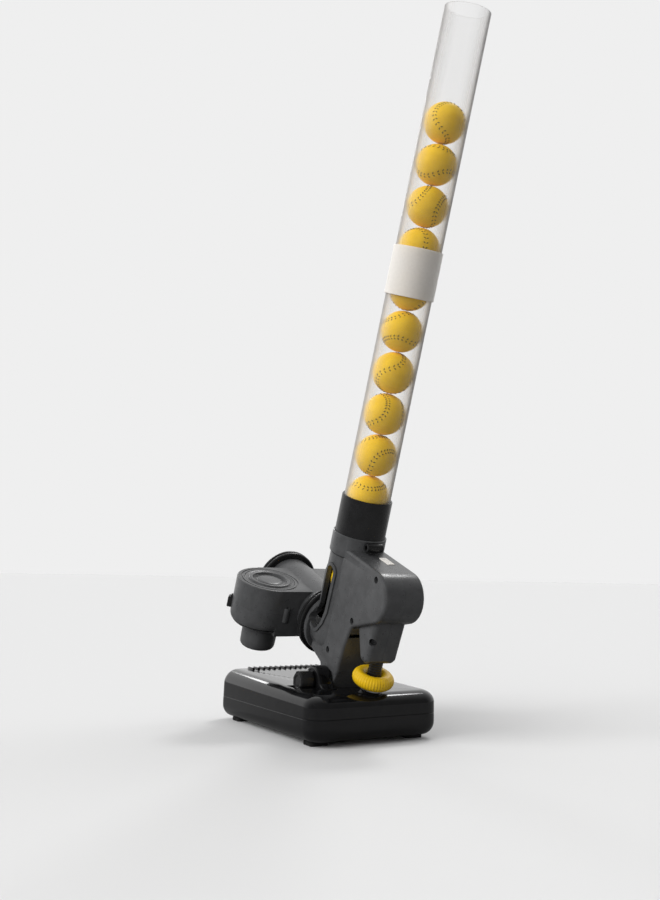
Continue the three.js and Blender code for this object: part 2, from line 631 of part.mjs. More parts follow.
function buildFeedTube() {
  const axis = [0, CHANNEL_Y];
  const cupWall = TUBE_R + GAP;
  const ledge = TUBE_SEAT_Z - GAP - COLLAR_BOTTOM_Z;
  const length = CUP_TOP_Z - COLLAR_BOTTOM_Z - 2 - GAP;
  const cup = turned('z', [[TUBE_BORE_R, 0], [CUP_R, 0], [CUP_R, length], [cupWall, length],
    [cupWall, ledge - 2], [TUBE_BORE_R, ledge - 2]]);
  piece(upperUnit, 'tube_cup', cup, SATIN_BLACK, [...axis, COLLAR_BOTTOM_Z + 2 + GAP]);
  const jointZ = TUBE_SEAT_Z + TUBE_LENGTH;
  const tube = pipe(TUBE_LENGTH, TUBE_R, TUBE_BORE_R);
  piece(upperUnit, 'lower_tube', tube, CLEAR, [...axis, TUBE_SEAT_Z]);
  piece(upperUnit, 'upper_tube', tube.clone(), CLEAR, [...axis, jointZ + 2 * GAP]);
  piece(upperUnit, 'tube_coupling', pipe(COUPLING_LENGTH, COUPLING_R, TUBE_R + GAP), FROSTED,
    [...axis, jointZ + GAP - COUPLING_LENGTH / 2]);
  for (let i = 0; i < BALL_COUNT; i += 1) {
    const sphere = new THREE.SphereGeometry(BALL_D / 2, 12, 8);
    piece(upperUnit, `ball_${i + 1}`, sphere, BALL_YELLOW, [...axis, FIRST_BALL_Z + i * BALL_PITCH]);
  }
}

// ---- Throwing head: two spinning wheels, one on each side of the barrel ---------------------------

const LUG_RISE = 5;
const LUG_ANGLE = THREE.MathUtils.degToRad(62); // from straight ahead

// The block on the outside of a drum where the two head shells are held together.
function drumLug(side) {
  const geometry = new THREE.BoxGeometry(9, DRUM_R + LUG_RISE, 12);
  geometry.translate(0, (DRUM_R + LUG_RISE) / 2, 0);
  geometry.rotateZ(-side * LUG_ANGLE);
  geometry.translate(side * WHEEL_X, WHEEL_Y, 0);
  return solid(geometry);
}

function headOuter() {
  const parts = [rod('y', HEAD_START_Y, BARREL_END_Y, BARREL_R)];
  for (const side of [-1, 1]) {
    parts.push(rod('z', -DRUM_HALF_Z, DRUM_HALF_Z, DRUM_R, side * WHEEL_X, WHEEL_Y));
    parts.push(drumLug(side));
  }
  parts.push(block(-WHEEL_X, WHEEL_X, WHEEL_Y - DRUM_R, WHEEL_Y + DRUM_R, -DRUM_HALF_Z, DRUM_HALF_Z));
  return join(...parts);
}

const DRUM_WALL = 1.8;
const CAP_R = 27;

function headHollow() {
  const parts = [rod('y', 0, 200, BARREL_BORE_R)];
  for (const side of [-1, 1]) {
    const x = side * WHEEL_X;
    const roomHalfZ = DRUM_HALF_Z - 2 * DRUM_WALL;
    parts.push(rod('z', -roomHalfZ, roomHalfZ, DRUM_R - DRUM_WALL, x, WHEEL_Y));
    parts.push(rod('z', -40, 0, 14, x, WHEEL_Y));
    parts.push(rod('z', 0, 40, CAP_R - 3, x, WHEEL_Y));
    parts.push(rod('z', DRUM_HALF_Z - 2, 40, CAP_R + GAP, x, WHEEL_Y));
  }
  return join(...parts);
}

function drumCap() {
  const top = 1.9;
  return turned('z', [[0, 0], [CAP_R, 0], [CAP_R, top], [16, top], [15, top - 0.9], [0, top - 0.9]]);
}

// A moulded flywheel on its motor spindle; the rim is hollowed a little to suit a ball.
function flywheel() {
  return turned('z', [[0, -18], [2, -18], [2, -10], [8, -10], [8, -3], [24, -3], [24, -11],
    [WHEEL_R, -11], [WHEEL_R - 1.5, 0], [WHEEL_R, 11], [24, 11], [24, 3], [0, 3]]);
}

function motorCover() {
  const depth = -DRUM_HALF_Z - GAP - CAN_BOTTOM_Z;
  return turned('z', [[0, 0], [CAN_R - 1, 0], [CAN_R, 1], [CAN_R, depth], [CAN_R - 2, depth],
    [CAN_R - 2, 2], [0, 2]]);
}

function ridgedRing(radius, from, to) {
  const bore = BARREL_BORE_R;
  const middle = (from + to) / 2;
  const rise = 2.5;
  return turned('y', [[bore, from], [radius, from], [radius, middle - 1.5], [radius - rise, middle],
    [radius, middle + 1.5], [radius, to], [bore, to]]);
}

function buildHead() {
  const shell = cut(headOuter(), headHollow());
  const above = block(-FAR, FAR, -FAR, FAR, GAP / 2, FAR);
  const below = block(-FAR, FAR, -FAR, FAR, -FAR, -GAP / 2);
  piece(upperUnit, 'head_shell_upper', shell.intersect(above), SATIN_GREY);
  piece(upperUnit, 'head_shell_lower', shell.intersect(below), SATIN_GREY);
  const rotationRing = ridgedRing(RING_R, FLANGE_FACE_Y + GAP, HEAD_START_Y - GAP);
  const muzzleRing = ridgedRing(MUZZLE_R, BARREL_END_Y + GAP, BARREL_END_Y + 11);
  piece(upperUnit, 'rotation_ring', rotationRing, SATIN_BLACK);
  piece(upperUnit, 'muzzle_ring', muzzleRing, SATIN_BLACK);
  for (const [name, side] of [['left', -1], ['right', 1]]) {
    const at = [side * WHEEL_X, WHEEL_Y, 0];
    piece(upperUnit, `drum_cap_${name}`, drumCap(), SATIN_GREY, [at[0], at[1], DRUM_HALF_Z - 2 + GAP]);
    piece(upperUnit, `motor_cover_${name}`, motorCover(), SATIN_GREY, [at[0], at[1], CAN_BOTTOM_Z]);
    piece(upperUnit, `flywheel_${name}`, flywheel(), RUBBER_BLACK, at);
    const motor = cut(rod('z', -44, -16, 12.5, 0, 0), rod('z', -20, 0, 2 + GAP, 0, 0, SMALL_ROUND));
    piece(upperUnit, `flywheel_motor_${name}`, motor, STEEL, at);
  }
}

buildBase();
buildPower();
buildHinge();
buildBody();
buildFeeder();
buildElevationScrew();
buildFeedTube();
buildHead();

// The floor point under the middle of the whole machine becomes the origin.
machine.updateMatrixWorld(true);
const extent = new THREE.Box3().setFromObject(machine, true);
machine.position.y = -(extent.min.y + extent.max.y) / 2;

export default machine;
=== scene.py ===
"""Looks of a tabletop baseball pitching machine.

Shapes are drawn in millimetres in two drawing frames. BASE stands on the floor under the middle
of the base, with +Y the direction of the throw. UNIT leans with the upper unit: +Y runs along the
barrel, +Z up the feed tube, and its origin is the point of the barrel axis where the head turns.
"""

import json
import math

import bmesh
import bpy
from mathutils import Euler, Matrix, Vector


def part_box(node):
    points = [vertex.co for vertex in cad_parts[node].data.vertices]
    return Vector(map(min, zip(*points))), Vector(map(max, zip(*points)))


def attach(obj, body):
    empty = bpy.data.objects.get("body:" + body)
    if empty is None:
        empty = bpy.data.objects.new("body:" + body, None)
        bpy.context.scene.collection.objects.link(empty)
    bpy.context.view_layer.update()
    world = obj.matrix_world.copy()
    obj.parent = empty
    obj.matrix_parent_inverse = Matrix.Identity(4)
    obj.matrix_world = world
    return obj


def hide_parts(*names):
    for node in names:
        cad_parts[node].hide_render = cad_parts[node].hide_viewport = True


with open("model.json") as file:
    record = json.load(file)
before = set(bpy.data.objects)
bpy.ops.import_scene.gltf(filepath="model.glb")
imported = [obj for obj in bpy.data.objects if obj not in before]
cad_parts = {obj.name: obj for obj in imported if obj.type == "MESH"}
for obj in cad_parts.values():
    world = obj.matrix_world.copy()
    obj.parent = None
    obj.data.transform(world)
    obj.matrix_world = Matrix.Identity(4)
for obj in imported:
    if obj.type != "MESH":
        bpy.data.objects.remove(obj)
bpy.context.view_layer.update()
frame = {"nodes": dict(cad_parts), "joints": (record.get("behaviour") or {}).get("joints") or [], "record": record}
MM = 0.001
JOINTS = {joint["name"]: joint for joint in frame["joints"]}


# ---- Drawing frames and the places the CAD gives ------------------------------------------------


def drawing_frame(origin, y_axis, z_axis):
    """Matrix that takes millimetres in a drawing frame to metres in the row frame."""
    y_axis, z_axis = Vector(y_axis), Vector(z_axis)
    turn = Matrix((y_axis.cross(z_axis), y_axis, z_axis)).transposed().to_4x4()
    return Matrix.Translation(origin) @ turn @ Matrix.Scale(MM, 4)


def base_origin():
    low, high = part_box("base_pan")
    return Vector((0, (low.y + high.y) / 2, 0))


BASE = drawing_frame(base_origin(), (0, 1, 0), (0, 0, 1))
UNIT = drawing_frame(
    JOINTS["head_roll"]["pos_m"], JOINTS["head_roll"]["axis"], JOINTS["washer_slide"]["axis"]
)


def joint_at(name, drawing):
    """A hinge's place in a drawing frame, in millimetres."""
    return drawing.inverted() @ Vector(JOINTS[name]["pos_m"])


def base_box(node):
    """The lowest and highest corner of a node's box in the base's drawing frame."""
    return [BASE.inverted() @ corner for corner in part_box(node)]


PIVOT = joint_at("tilt", BASE)
UNIT_PIVOT = joint_at("tilt", UNIT)
DRUM = joint_at("right_flywheel_spin", UNIT)
ROTOR = joint_at("rotor_spin", UNIT)
SCREW = joint_at("wheel_spin", UNIT)

# ---- Sizes, in millimetres ----------------------------------------------------------------------

GAP = 0.3  # air between neighbouring pieces
SEAM = 0.06  # half of the visible gap where two halves meet
FAR = 300  # beyond the machine on every side
BASE_HALF_X, BASE_HALF_Y, BASE_CORNER = 71, 109, 19
SEAM_Z, DECK_FRONT_Z, DECK_REAR_Z = 24, 51, 43.5
DECK_EDGE, PAN_EDGE, BASE_WALL = 14, 12, 2.5
FOOT_H = 4
EAR_IN, EAR_OUT, EAR_R = 22, 37, 14
KNOB_FACE = 53
BOLT_R = 5
CHANNEL_Y = -21.3
CHANNEL = (0, CHANNEL_Y, 0)
CHANNEL_R, BORE_R = 26, 22.3
BODY_HALF, BODY_WALL = 22, 2.4
HOUSING_TOP, HOUSING_END = 91, (-100, 67)
HOUSING_R = 24
COLLAR_LOW, COLLAR_TOP, COLLAR_R = 81, 103.2, 27.6
FLANGE_FACE = 0.7
BARREL_R, BARREL_BORE = 28.5, 25
BARREL_START, BARREL_END = 10, 109
DRUM_R, DRUM_HALF = 35, 24
BOSS_X = 41.5
RING_R = 34.5
BALLS = 12
TUBE_R, CUP_R, COUPLING_R = 23.8, 26, 25.4
SCREW_LOW, SCREW_HIGH, SCREW_R = -24, 42, 6.7
SEAT_HEIGHT, SEAT_R = -35.1, 15


# ---- Outlines -----------------------------------------------------------------------------------


def rounded(corners, steps=6):
    """A closed outline from (u, v, radius) corners, each one rounded off by its radius."""
    points = []
    for i, (u, v, radius) in enumerate(corners):
        here = Vector((u, v))
        before = Vector(corners[i - 1][:2]) - here
        after = Vector(corners[(i + 1) % len(corners)][:2]) - here
        if radius <= 0:
            points.append((u, v))
            continue
        half = before.angle(after) / 2
        reach = min(radius / math.tan(half), before.length * 0.49, after.length * 0.49)
        start = here + before.normalized() * reach
        end = here + after.normalized() * reach
        bisector = (before.normalized() + after.normalized()).normalized()
        centre = here + bisector * (reach / math.cos(half))
        first, last = start - centre, end - centre
        turn = first.angle_signed(last)
        for k in range(steps + 1):
            spun = first.copy()
            spun.rotate(Matrix.Rotation(-turn * k / steps, 2))
            points.append(tuple(centre + spun))
    return points


def arc(centre, radius, start, end, steps=16):
    """Points on a circle, from one angle to another, in degrees."""
    angles = [math.radians(start + (end - start) * k / steps) for k in range(steps + 1)]
    return [(centre[0] + radius * math.cos(a), centre[1] + radius * math.sin(a)) for a in angles]


def inset(outline, distance):
    """The outline moved towards its inside. It runs counter-clockwise."""
    moved = []
    for i, point in enumerate(outline):
        here = Vector(point)
        ahead = (Vector(outline[(i + 1) % len(outline)]) - here).normalized()
        behind = (here - Vector(outline[i - 1])).normalized()
        normal = Vector((-ahead.y - behind.y, ahead.x + behind.x)).normalized()
        stretch = min(1 / max(normal.dot(Vector((-ahead.y, ahead.x))), 0.4), 1.6)
        moved.append(tuple(here + normal * distance * stretch))
    return moved


def counter_clockwise(outline):
    area = sum(
        u0 * v1 - u1 * v0 for (u0, v0), (u1, v1) in zip(outline, outline[1:] + outline[:1])
    )
    return outline if area > 0 else outline[::-1]


# ---- Meshes -------------------------------------------------------------------------------------


def mesh_object(name, points, faces):
    """An object from points in millimetres of a drawing frame that is applied later."""
    mesh = bpy.data.meshes.new(name)
    mesh.from_pydata([tuple(p) for p in points], [], faces)
    shape = bmesh.new()
    shape.from_mesh(mesh)
    bmesh.ops.remove_doubles(shape, verts=shape.verts, dist=1e-4)
    bmesh.ops.recalc_face_normals(shape, faces=shape.faces)
    shape.to_mesh(mesh)
    shape.free()
    made = bpy.data.objects.new(name, mesh)
    bpy.context.scene.collection.objects.link(made)
    return made


def loft(rings, closed=False):
    """Skins rings of equally many points. Its ends are capped, or joined when it is closed."""
    count = len(rings[0])
    points = [p for ring in rings for p in ring]
    faces = []
    for i in range(len(rings) if closed else len(rings) - 1):
        a, b = i * count, ((i + 1) % len(rings)) * count
        for j in range(count):
            k = (j + 1) % count
            faces.append((a + j, a + k, b + k, b + j))
    if not closed:
        faces.append(tuple(range(count))[::-1])
        faces.append(tuple(range((len(rings) - 1) * count, len(rings) * count)))
    return mesh_object("loft", points, faces)


ALONG = {
    "x": lambda u, v, w: (w, u, v),
    "y": lambda u, v, w: (v, w, u),
    "z": lambda u, v, w: (u, v, w),
}


def turned(axis, profile, at=(0, 0, 0), sides=72, wobble=None):
    """A lathe shape round an axis, from (radius, height) pairs. wobble changes a radius by angle."""
    rings = []
    for radius, height in profile:
        ring = []
        for k in range(sides):
            angle = 2 * math.pi * k / sides
            r = wobble(radius, height, angle) if wobble and radius > 0 else radius
            point = ALONG[axis](r * math.cos(angle), r * math.sin(angle), height)
            ring.append(Vector(point) + Vector(at))
        rings.append(ring)
    return loft(rings, closed=all(radius > 0 for radius, _ in profile))


def rod(axis, low, high, radius, at=(0, 0, 0), edge=0.0, sides=48):
    """A cylinder along an axis, with its two edges rounded off."""
    if edge <= 0:
        return turned(axis, [(0, low), (radius, low), (radius, high), (0, high)], at, sides)
    lower = arc((radius - edge, low + edge), edge, -90, 0, 4)
    upper = arc((radius - edge, high - edge), edge, 0, 90, 4)
    return turned(axis, [(0, low), *lower, *upper, (0, high)], at, sides)


def plate(axis, outline, low, high, edge=0.0, steps=4):
    """An outline carried along an axis, with its rims rounded off by edge."""
    outline = counter_clockwise(outline)
    stops = [(0, low), (0, high)]
    if edge > 0:
        lower = [(edge - u, low + edge + v) for u, v in arc((0, 0), edge, -90, 0, steps)]
        upper = [(edge - u, high - edge + v) for u, v in arc((0, 0), edge, 0, 90, steps)]
        stops = lower + upper
    rings = [
        [Vector(ALONG[axis](u, v, w)) for u, v in inset(outline, depth)] for depth, w in stops
    ]
    return loft(rings)


def box(x0, x1, y0, y1, z0, z1, edge=0.0):
    corners = [(x0, y0, edge), (x1, y0, edge), (x1, y1, edge), (x0, y1, edge)]
    return plate("z", rounded(corners, 4) if edge else [c[:2] for c in corners], z0, z1, edge)


def ball(radius, at, sides=64):
    """A solid sphere, used to join and cut."""
    half = arc((0, 0), radius, -90, 90, sides // 2)
    return turned("z", [(0, -radius), *half[1:-1], (0, radius)], at, sides)


def combined(target, tools, operation):
    """The target after each tool has been joined to it, cut from it or kept in common with it."""
    for tool in tools:
        step = target.modifiers.new("step", "BOOLEAN")
        step.object, step.operation, step.solver = tool, operation, "MANIFOLD"
        made = bpy.data.meshes.new_from_object(
            target.evaluated_get(bpy.context.evaluated_depsgraph_get())
        )
        target.modifiers.clear()
        target.data = made
        bpy.data.objects.remove(tool)
    return target


def joined(first, *others):
    return combined(first, others, "UNION")


def cut(target, *tools):
    return combined(target, tools, "DIFFERENCE")


def common(target, tool):
    return combined(target, [tool], "INTERSECT")


def copy_of(source):
    twin = bpy.data.objects.new(source.name, source.data.copy())
    bpy.context.scene.collection.objects.link(twin)
    return twin


def placed(piece, drawing, name, body, node, material, edge=0.0, smooth=40):
    """Finishes a piece: places it, softens its sharp edges, and lets it stand for a CAD node."""
    piece.name = piece.data.name = name
    piece.data.transform(drawing)
    piece.data.materials.clear()
    piece.data.materials.append(MATERIALS[material])
    for face in piece.data.polygons:
        face.use_smooth = True
        face.material_index = 0
    piece.data.set_sharp_from_angle(angle=math.radians(smooth))
    if edge > 0:
        soften = piece.modifiers.new("edges", "BEVEL")
        soften.width, soften.segments = edge * MM, 3
        soften.limit_method, soften.angle_limit = "ANGLE", math.radians(smooth)
        soften.harden_normals = True
    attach(piece, body)
    if node:
        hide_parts(node)


# ---- Materials ----------------------------------------------------------------------------------


def ramp(tree, source, low, high, start, end):
    """A value that goes from low to high as the source goes from start to end."""
    node = tree.nodes.new("ShaderNodeMapRange")
    limits = {"From Min": start, "From Max": end, "To Min": low, "To Max": high}
    for key, value in limits.items():
        node.inputs[key].default_value = value
    tree.links.new(source, node.inputs["Value"])
    return node.outputs["Result"]


def seen(tree):
    """1 for rays from the camera, whether they come straight or through clear plastic."""
    path = tree.nodes.new("ShaderNodeLightPath")
    either = tree.nodes.new("ShaderNodeMath")
    either.operation = "MAXIMUM"
    tree.links.new(path.outputs["Is Camera Ray"], either.inputs[0])
    tree.links.new(path.outputs["Is Transmission Ray"], either.inputs[1])
    return either.outputs["Value"]


class Nodes:
    """A short way to write a material's node tree."""

    def __init__(self, name):
        self.material = bpy.data.materials.new(name)
        self.material.use_nodes = True
        self.tree = self.material.node_tree
        self.shader = self.tree.nodes["Principled BSDF"]
        self.output = self.tree.nodes["Material Output"]
        self.where = self.add("ShaderNodeTexCoord").outputs["Object"]

    def add(self, kind, **values):
        node = self.tree.nodes.new(kind)
        for key, value in values.items():
            if hasattr(node, key):
                setattr(node, key, value)
            else:
                node.inputs[key.replace("_", " ")].default_value = value
        return node

    def link(self, source, target):
        self.tree.links.new(source, target)

    def noise(self, size_mm, detail=4.0):
        """Noise whose features are about size_mm across."""
        node = self.add("ShaderNodeTexNoise", Scale=1 / (size_mm * MM), Detail=detail)
        self.link(self.where, node.inputs["Vector"])
        return node.outputs["Fac"]

    def ramp(self, source, low, high, start=0.35, end=0.65):
        return ramp(self.tree, source, low, high, start, end)

    def mix(self, factor, first, second):
        node = self.add("ShaderNodeMix", data_type="RGBA")
        sockets = [s for s in node.inputs if s.type == "RGBA"]
        sockets[0].default_value = (*first, 1)
        sockets[1].default_value = (*second, 1)
        self.link(factor, node.inputs["Factor"])
        return [s for s in node.outputs if s.type == "RGBA"][0]

    def shader_mix(self, factor, first, second):
        node = self.add("ShaderNodeMixShader")
        self.link(factor, node.inputs["Fac"])
        self.link(first.outputs[0], node.inputs[1])
        self.link(second.outputs[0], node.inputs[2])
        return node

    def bump(self, source, depth_mm, before=None):
        node = self.add("ShaderNodeBump", Strength=1.0, Distance=depth_mm * MM)
        self.link(source, node.inputs["Height"])
        if before:
            self.link(before, node.inputs["Normal"])
        return node.outputs["Normal"]


def moulded(name, shade, rough, grain_mm, grain_depth, spread=0.12, metal=0.0):
    """Moulded plastic, rubber or metal: uneven tone, uneven gloss, fine grain and faint scuffs."""
    n = Nodes(name)
    lighter = tuple(min(1, c * (1 + spread) + 0.002) for c in shade)
    darker = tuple(c * (1 - spread) for c in shade)
    n.link(n.mix(n.ramp(n.noise(9), 0, 1), darker, lighter), n.shader.inputs["Base Color"])
    n.link(n.ramp(n.noise(4, 6), rough * 0.88, rough * 1.14), n.shader.inputs["Roughness"])
    grain = n.bump(n.noise(grain_mm, 2), grain_depth)
    scuffs = n.bump(n.ramp(n.noise(2.5, 2), 0, 1, 0.6, 0.8), 0.006, grain)
    n.link(scuffs, n.shader.inputs["Normal"])
    n.shader.inputs["Metallic"].default_value = metal
    return n.material


def veil(name, shade, milk, rough, streak_mm, blur):
    """Clear or frosted plastic. Milk and blur are each given for the middle and for the edges."""
    n = Nodes(name)
    uneven = n.mix(n.ramp(n.noise(streak_mm), 0, 1), tuple(c * 0.94 for c in shade), shade)
    n.link(uneven, n.shader.inputs["Base Color"])
    n.link(n.ramp(n.noise(5, 6), rough * 0.7, rough * 1.3), n.shader.inputs["Roughness"])
    n.link(n.bump(n.noise(2.5, 3), 0.01), n.shader.inputs["Normal"])
    n.shader.inputs["Specular IOR Level"].default_value = 0.3
    facing = n.add("ShaderNodeLayerWeight", Blend=0.35)
    share = n.ramp(facing.outputs["Facing"], *milk, 0.05, 0.85)
    clear = n.add("ShaderNodeBsdfTransparent")
    bent = n.add("ShaderNodeBsdfRefraction", IOR=1.35)
    n.link(n.ramp(facing.outputs["Facing"], *blur, 0.06, 0.55), bent.inputs["Roughness"])
    through = n.shader_mix(seen(n.tree), clear, bent)
    surface = n.shader_mix(share, through, n.shader)
    n.link(surface.outputs["Shader"], n.output.inputs["Surface"])
    return n.material


MATERIALS = {
    "satin_grey": moulded("satin_grey", (0.062, 0.063, 0.065), 0.31, 0.35, 0.014),
    "gloss_black": moulded("gloss_black", (0.004, 0.004, 0.0045), 0.11, 1.2, 0.003),
    "satin_black": moulded("satin_black", (0.0075, 0.0075, 0.008), 0.3, 0.4, 0.012),
    "rubber_black": moulded("rubber_black", (0.009, 0.009, 0.009), 0.75, 0.3, 0.03),
    "ball_yellow": moulded("ball_yellow", (0.98, 0.62, 0.008), 0.5, 0.5, 0.02, spread=0.05),
    "stitch": moulded("stitch", (0.012, 0.005, 0.002), 0.7, 0.3, 0.02),
    "wheel_yellow": moulded("wheel_yellow", (0.72, 0.45, 0.006), 0.32, 0.5, 0.01, spread=0.05),
    "clear_tube": veil("clear_tube", (0.72, 0.7, 0.68), (0.04, 0.6), 0.35, 12, (0.12, 0.5)),
    "frosted": veil("frosted", (1.0, 0.965, 0.915), (0.6, 0.85), 0.4, 3, (0.7, 0.8)),
    "steel": moulded("steel", (0.5, 0.5, 0.51), 0.3, 0.3, 0.01, metal=1.0),
    "screw_black": moulded("screw_black", (0.03, 0.03, 0.032), 0.35, 0.3, 0.01, metal=0.6),
    "cell_metal": moulded("cell_metal", (0.3, 0.31, 0.33), 0.3, 0.5, 0.006, metal=0.8),
    "board_green": moulded("board_green", (0.014, 0.1, 0.035), 0.4, 0.8, 0.02),
    "gear_white": moulded("gear_white", (0.72, 0.7, 0.64), 0.42, 0.4, 0.01),
}


def finish_frame():
    """Every CAD node that stays in sight takes the finish of its material slot."""
    slots = {part["node"]: part["material_slot"] for part in frame["record"]["subparts"]}
    for name, node in frame["nodes"].items():
        node.data.materials.clear()
        node.data.materials.append(MATERIALS[slots[name]])


# ---- Base ---------------------------------------------------------------------------------------


def rounded_rectangle(half_x, half_y, radius):
    corners = []
    for k, (sx, sy) in enumerate([(1, 1), (-1, 1), (-1, -1), (1, -1)]):
        centre = (sx * (half_x - radius), sy * (half_y - radius))
        corners += arc(centre, radius, 90 * k, 90 * (k + 1), 12)
    return corners


def base_ring(depth, height):
    """A rim of the base, moved in by depth, whose height may change along Y."""
    corner = max(BASE_CORNER - depth, 4)
    outline = rounded_rectangle(BASE_HALF_X - depth, BASE_HALF_Y - depth, corner)
    return [(x, y, height(y)) for x, y in outline]


def deck_z(y):
    """The height of the deck, which slopes down to the rear."""
    share = (y + BASE_HALF_Y) / (2 * BASE_HALF_Y)
    return DECK_REAR_Z + (DECK_FRONT_Z - DECK_REAR_Z) * share


def deck_shell():
    """The upper half of the base: upright walls that turn over into a sloping deck."""
    full = DECK_FRONT_Z - SEAM_Z

    def ring(depth, rise):
        return base_ring(depth, lambda y: SEAM_Z + rise * (deck_z(y) - SEAM_Z) / full)

    bend = arc((DECK_EDGE, full - DECK_EDGE), DECK_EDGE, 180, 90, 10)
    inner = DECK_EDGE - BASE_WALL
    under = arc((DECK_EDGE, full - DECK_EDGE), inner, 90, 180, 6)
    outside = [(0.15, SEAM), (0, 0.25), (0, 0.8), (0, full - DECK_EDGE - 1), *bend]
    inside = [*under, (BASE_WALL, SEAM)]
    outer, hollow = loft([ring(*p) for p in outside]), loft([ring(*p) for p in inside[::-1]])
    hollow.data.transform(Matrix.Translation((0, 0, -0.4)))
    return cut(outer, hollow)


def ear(side):
    """A hinge ear: a round head that runs out into a low foot on the deck."""
    foot = deck_z(PIVOT.y) - 4
    front = [(33, 0), (33, 4), (24, 5), (17, 7.5)]
    back = [(-15.5, 7), (-20, 4.6), (-27, 3.6), (-27, 0)]
    ahead, behind = ([(PIVOT.y + y, foot + z) for y, z in run] for run in (front, back))
    head = arc((PIVOT.y, PIVOT.z), EAR_R, 25, 165, 20)
    low, high = sorted((side * EAR_IN, side * EAR_OUT))
    return plate("x", [*ahead, *head, *behind], low, high, 1.6)


def grip_ribs():
    """A row of ridges across the front of the deck."""
    count, pitch = 14, 6.4
    rear, front, height = 84, 97, deck_z(91)
    ridge = rounded([(-1.5, -2.1, 0), (-1.5, 2.1, 0), (1.7, 0.9, 0.8), (1.7, -0.9, 0.8)], 4)
    ribs = []
    for k in range(count):
        rib = plate("y", ridge, rear, front, 0.3)
        middle = (k - (count - 1) / 2) * pitch
        rib.data.transform(Matrix.Translation((middle, 0, height)))
        ribs.append(rib)
    return ribs


def seat_centre():
    """The middle of the dome that the washer presses on, in the base's drawing frame."""
    return BASE.inverted() @ (UNIT @ Vector((0, SCREW.y, SEAT_HEIGHT)))


def build_base():
    """The deck with its ears, ribs and openings, then the pan and the feet."""
    switch_low, switch_high = base_box("power_switch")
    jack_low, jack_high = base_box("power_jack")
    jack = (jack_low + jack_high) / 2
    pivot = (0, PIVOT.y, PIVOT.z)
    through_wall = (BASE_HALF_X - 6, BASE_HALF_X + 1)
    knob_recess, nut_recess, jack_hole, switch_slot = 11, 9.5, 5.9, (26.4, 33.6)
    deck = cut(
        joined(deck_shell(), ear(-1), ear(1), *grip_ribs()),
        box(-EAR_IN, EAR_IN, PIVOT.y - 18, PIVOT.y + 16, 20, 80),
        rod("x", -EAR_OUT - 2, EAR_OUT + 2, BOLT_R + GAP, pivot),
        rod("x", -KNOB_FACE - 6, -EAR_OUT + 0.6, knob_recess, pivot),
        rod("x", EAR_OUT - 0.6, EAR_OUT + 12, nut_recess, pivot),
        ball(SEAT_R + GAP, seat_centre(), 40),
        box(*through_wall, switch_low.y + 2, switch_high.y - 2, *switch_slot),
        rod("x", *through_wall, jack_hole, (0, jack.y, jack.z)),
    )
    placed(deck, BASE, "deck_moulding", "base", "base_deck", "gloss_black", 0.5)
    build_pan()
    build_feet()


def build_pan():
    """The lower half of the base: a tray with a doorway for the batteries."""
    low = FOOT_H

    def ring(depth, z):
        return base_ring(depth, lambda y: z)

    edge, slide = low + PAN_EDGE, 8.3
    wall = [(0.15, SEAM_Z - SEAM), (0, SEAM_Z - 0.25), (0, SEAM_Z - 0.8), (0, edge + 1)]
    outside = [*wall, *arc((PAN_EDGE, edge), PAN_EDGE, 180, 270, 8)]
    inside = [(BASE_WALL, SEAM_Z + 1), (BASE_WALL, edge), (PAN_EDGE, low + BASE_WALL)]
    outer, hollow = (loft([ring(*p) for p in run]) for run in (outside, inside))
    door_low, door_high = base_box("battery_door")
    doorway = box(door_low.x - GAP, door_high.x + GAP, door_low.y - GAP, door_high.y + slide, 3, 8)
    pan = cut(outer, hollow, doorway)
    placed(pan, BASE, "pan_moulding", "base", "base_pan", "gloss_black", 0.15)


def build_feet():
    """Square rubber feet with a shallow tread."""
    for name in ("foot_front_left", "foot_front_right", "foot_rear_left", "foot_rear_right"):
        low, high = base_box(name)
        corners = [(low.x, low.y, 3), (high.x, low.y, 3), (high.x, high.y, 3), (low.x, high.y, 3)]
        pad = plate("z", rounded(corners, 5), 0, high.z, 0.6)
        treads = (low.y + 6, (low.y + high.y) / 2, high.y - 6)
        grooves = [box(low.x - 1, high.x + 1, y - 0.7, y + 0.7, -1, 0.6) for y in treads]
        placed(cut(pad, *grooves), BASE, name + "_pad", "base", name, "rubber_black")


def build_door():
    low, high = base_box("battery_door")
    door = box(low.x, high.x, low.y, high.y, low.z, high.z, 0.5)
    starts = [high.y - 24 + 4 * k for k in range(5)]
    grooves = [box(-14, 14, y, y + 1.6, low.z - 1, low.z + 0.7) for y in starts]
    placed(cut(door, *grooves), BASE, "battery_lid", "door", "battery_door", "satin_black")


def build_hinge():
    """The clamp knob, an eight-sided cap with rounded corners, and the bolt through the ears."""
    at = (0, PIVOT.y, PIVOT.z)
    sides = 8

    def facet(radius, height, angle):
        """Pulls a round rim in to the flats of a polygon with soft corners."""
        swing = (angle + math.pi / sides) % (2 * math.pi / sides) - math.pi / sides
        flat = math.cos(math.pi / sides) / math.cos(swing)
        return radius * (0.35 + 0.65 * flat) if radius > 6 else radius

    face, rear = -KNOB_FACE, -EAR_OUT - 1
    rim = [(5, face + 0.8), (6.2, face + 0.1), (8.4, face), (9.7, face + 1.1), (10, face + 3)]
    skirt = [(10, rear - 2.4), (9.2, rear - 1.6), (9.2, rear - 0.8), (8.6, rear), (5.4, rear)]
    socket = [(5.4, face + 5), (0, face + 5)]
    knob = turned("x", [(0, face + 0.8), *rim, *skirt, *socket], at, 96, facet)
    placed(knob, BASE, "knob_grip", "knob", "pivot_knob", "satin_black", smooth=30)
    shank = rod("x", -KNOB_FACE + 6, EAR_OUT + 1, BOLT_R, at)
    low = EAR_OUT + 0.4
    head = turned("x", [(0, low), (8, low), (8, low + 4.2), (7, low + 5.2), (0, low + 5.6)], at, 6)
    placed(joined(shank, head), BASE, "hinge_bolt", "base", "pivot_bolt", "steel", 0.2)


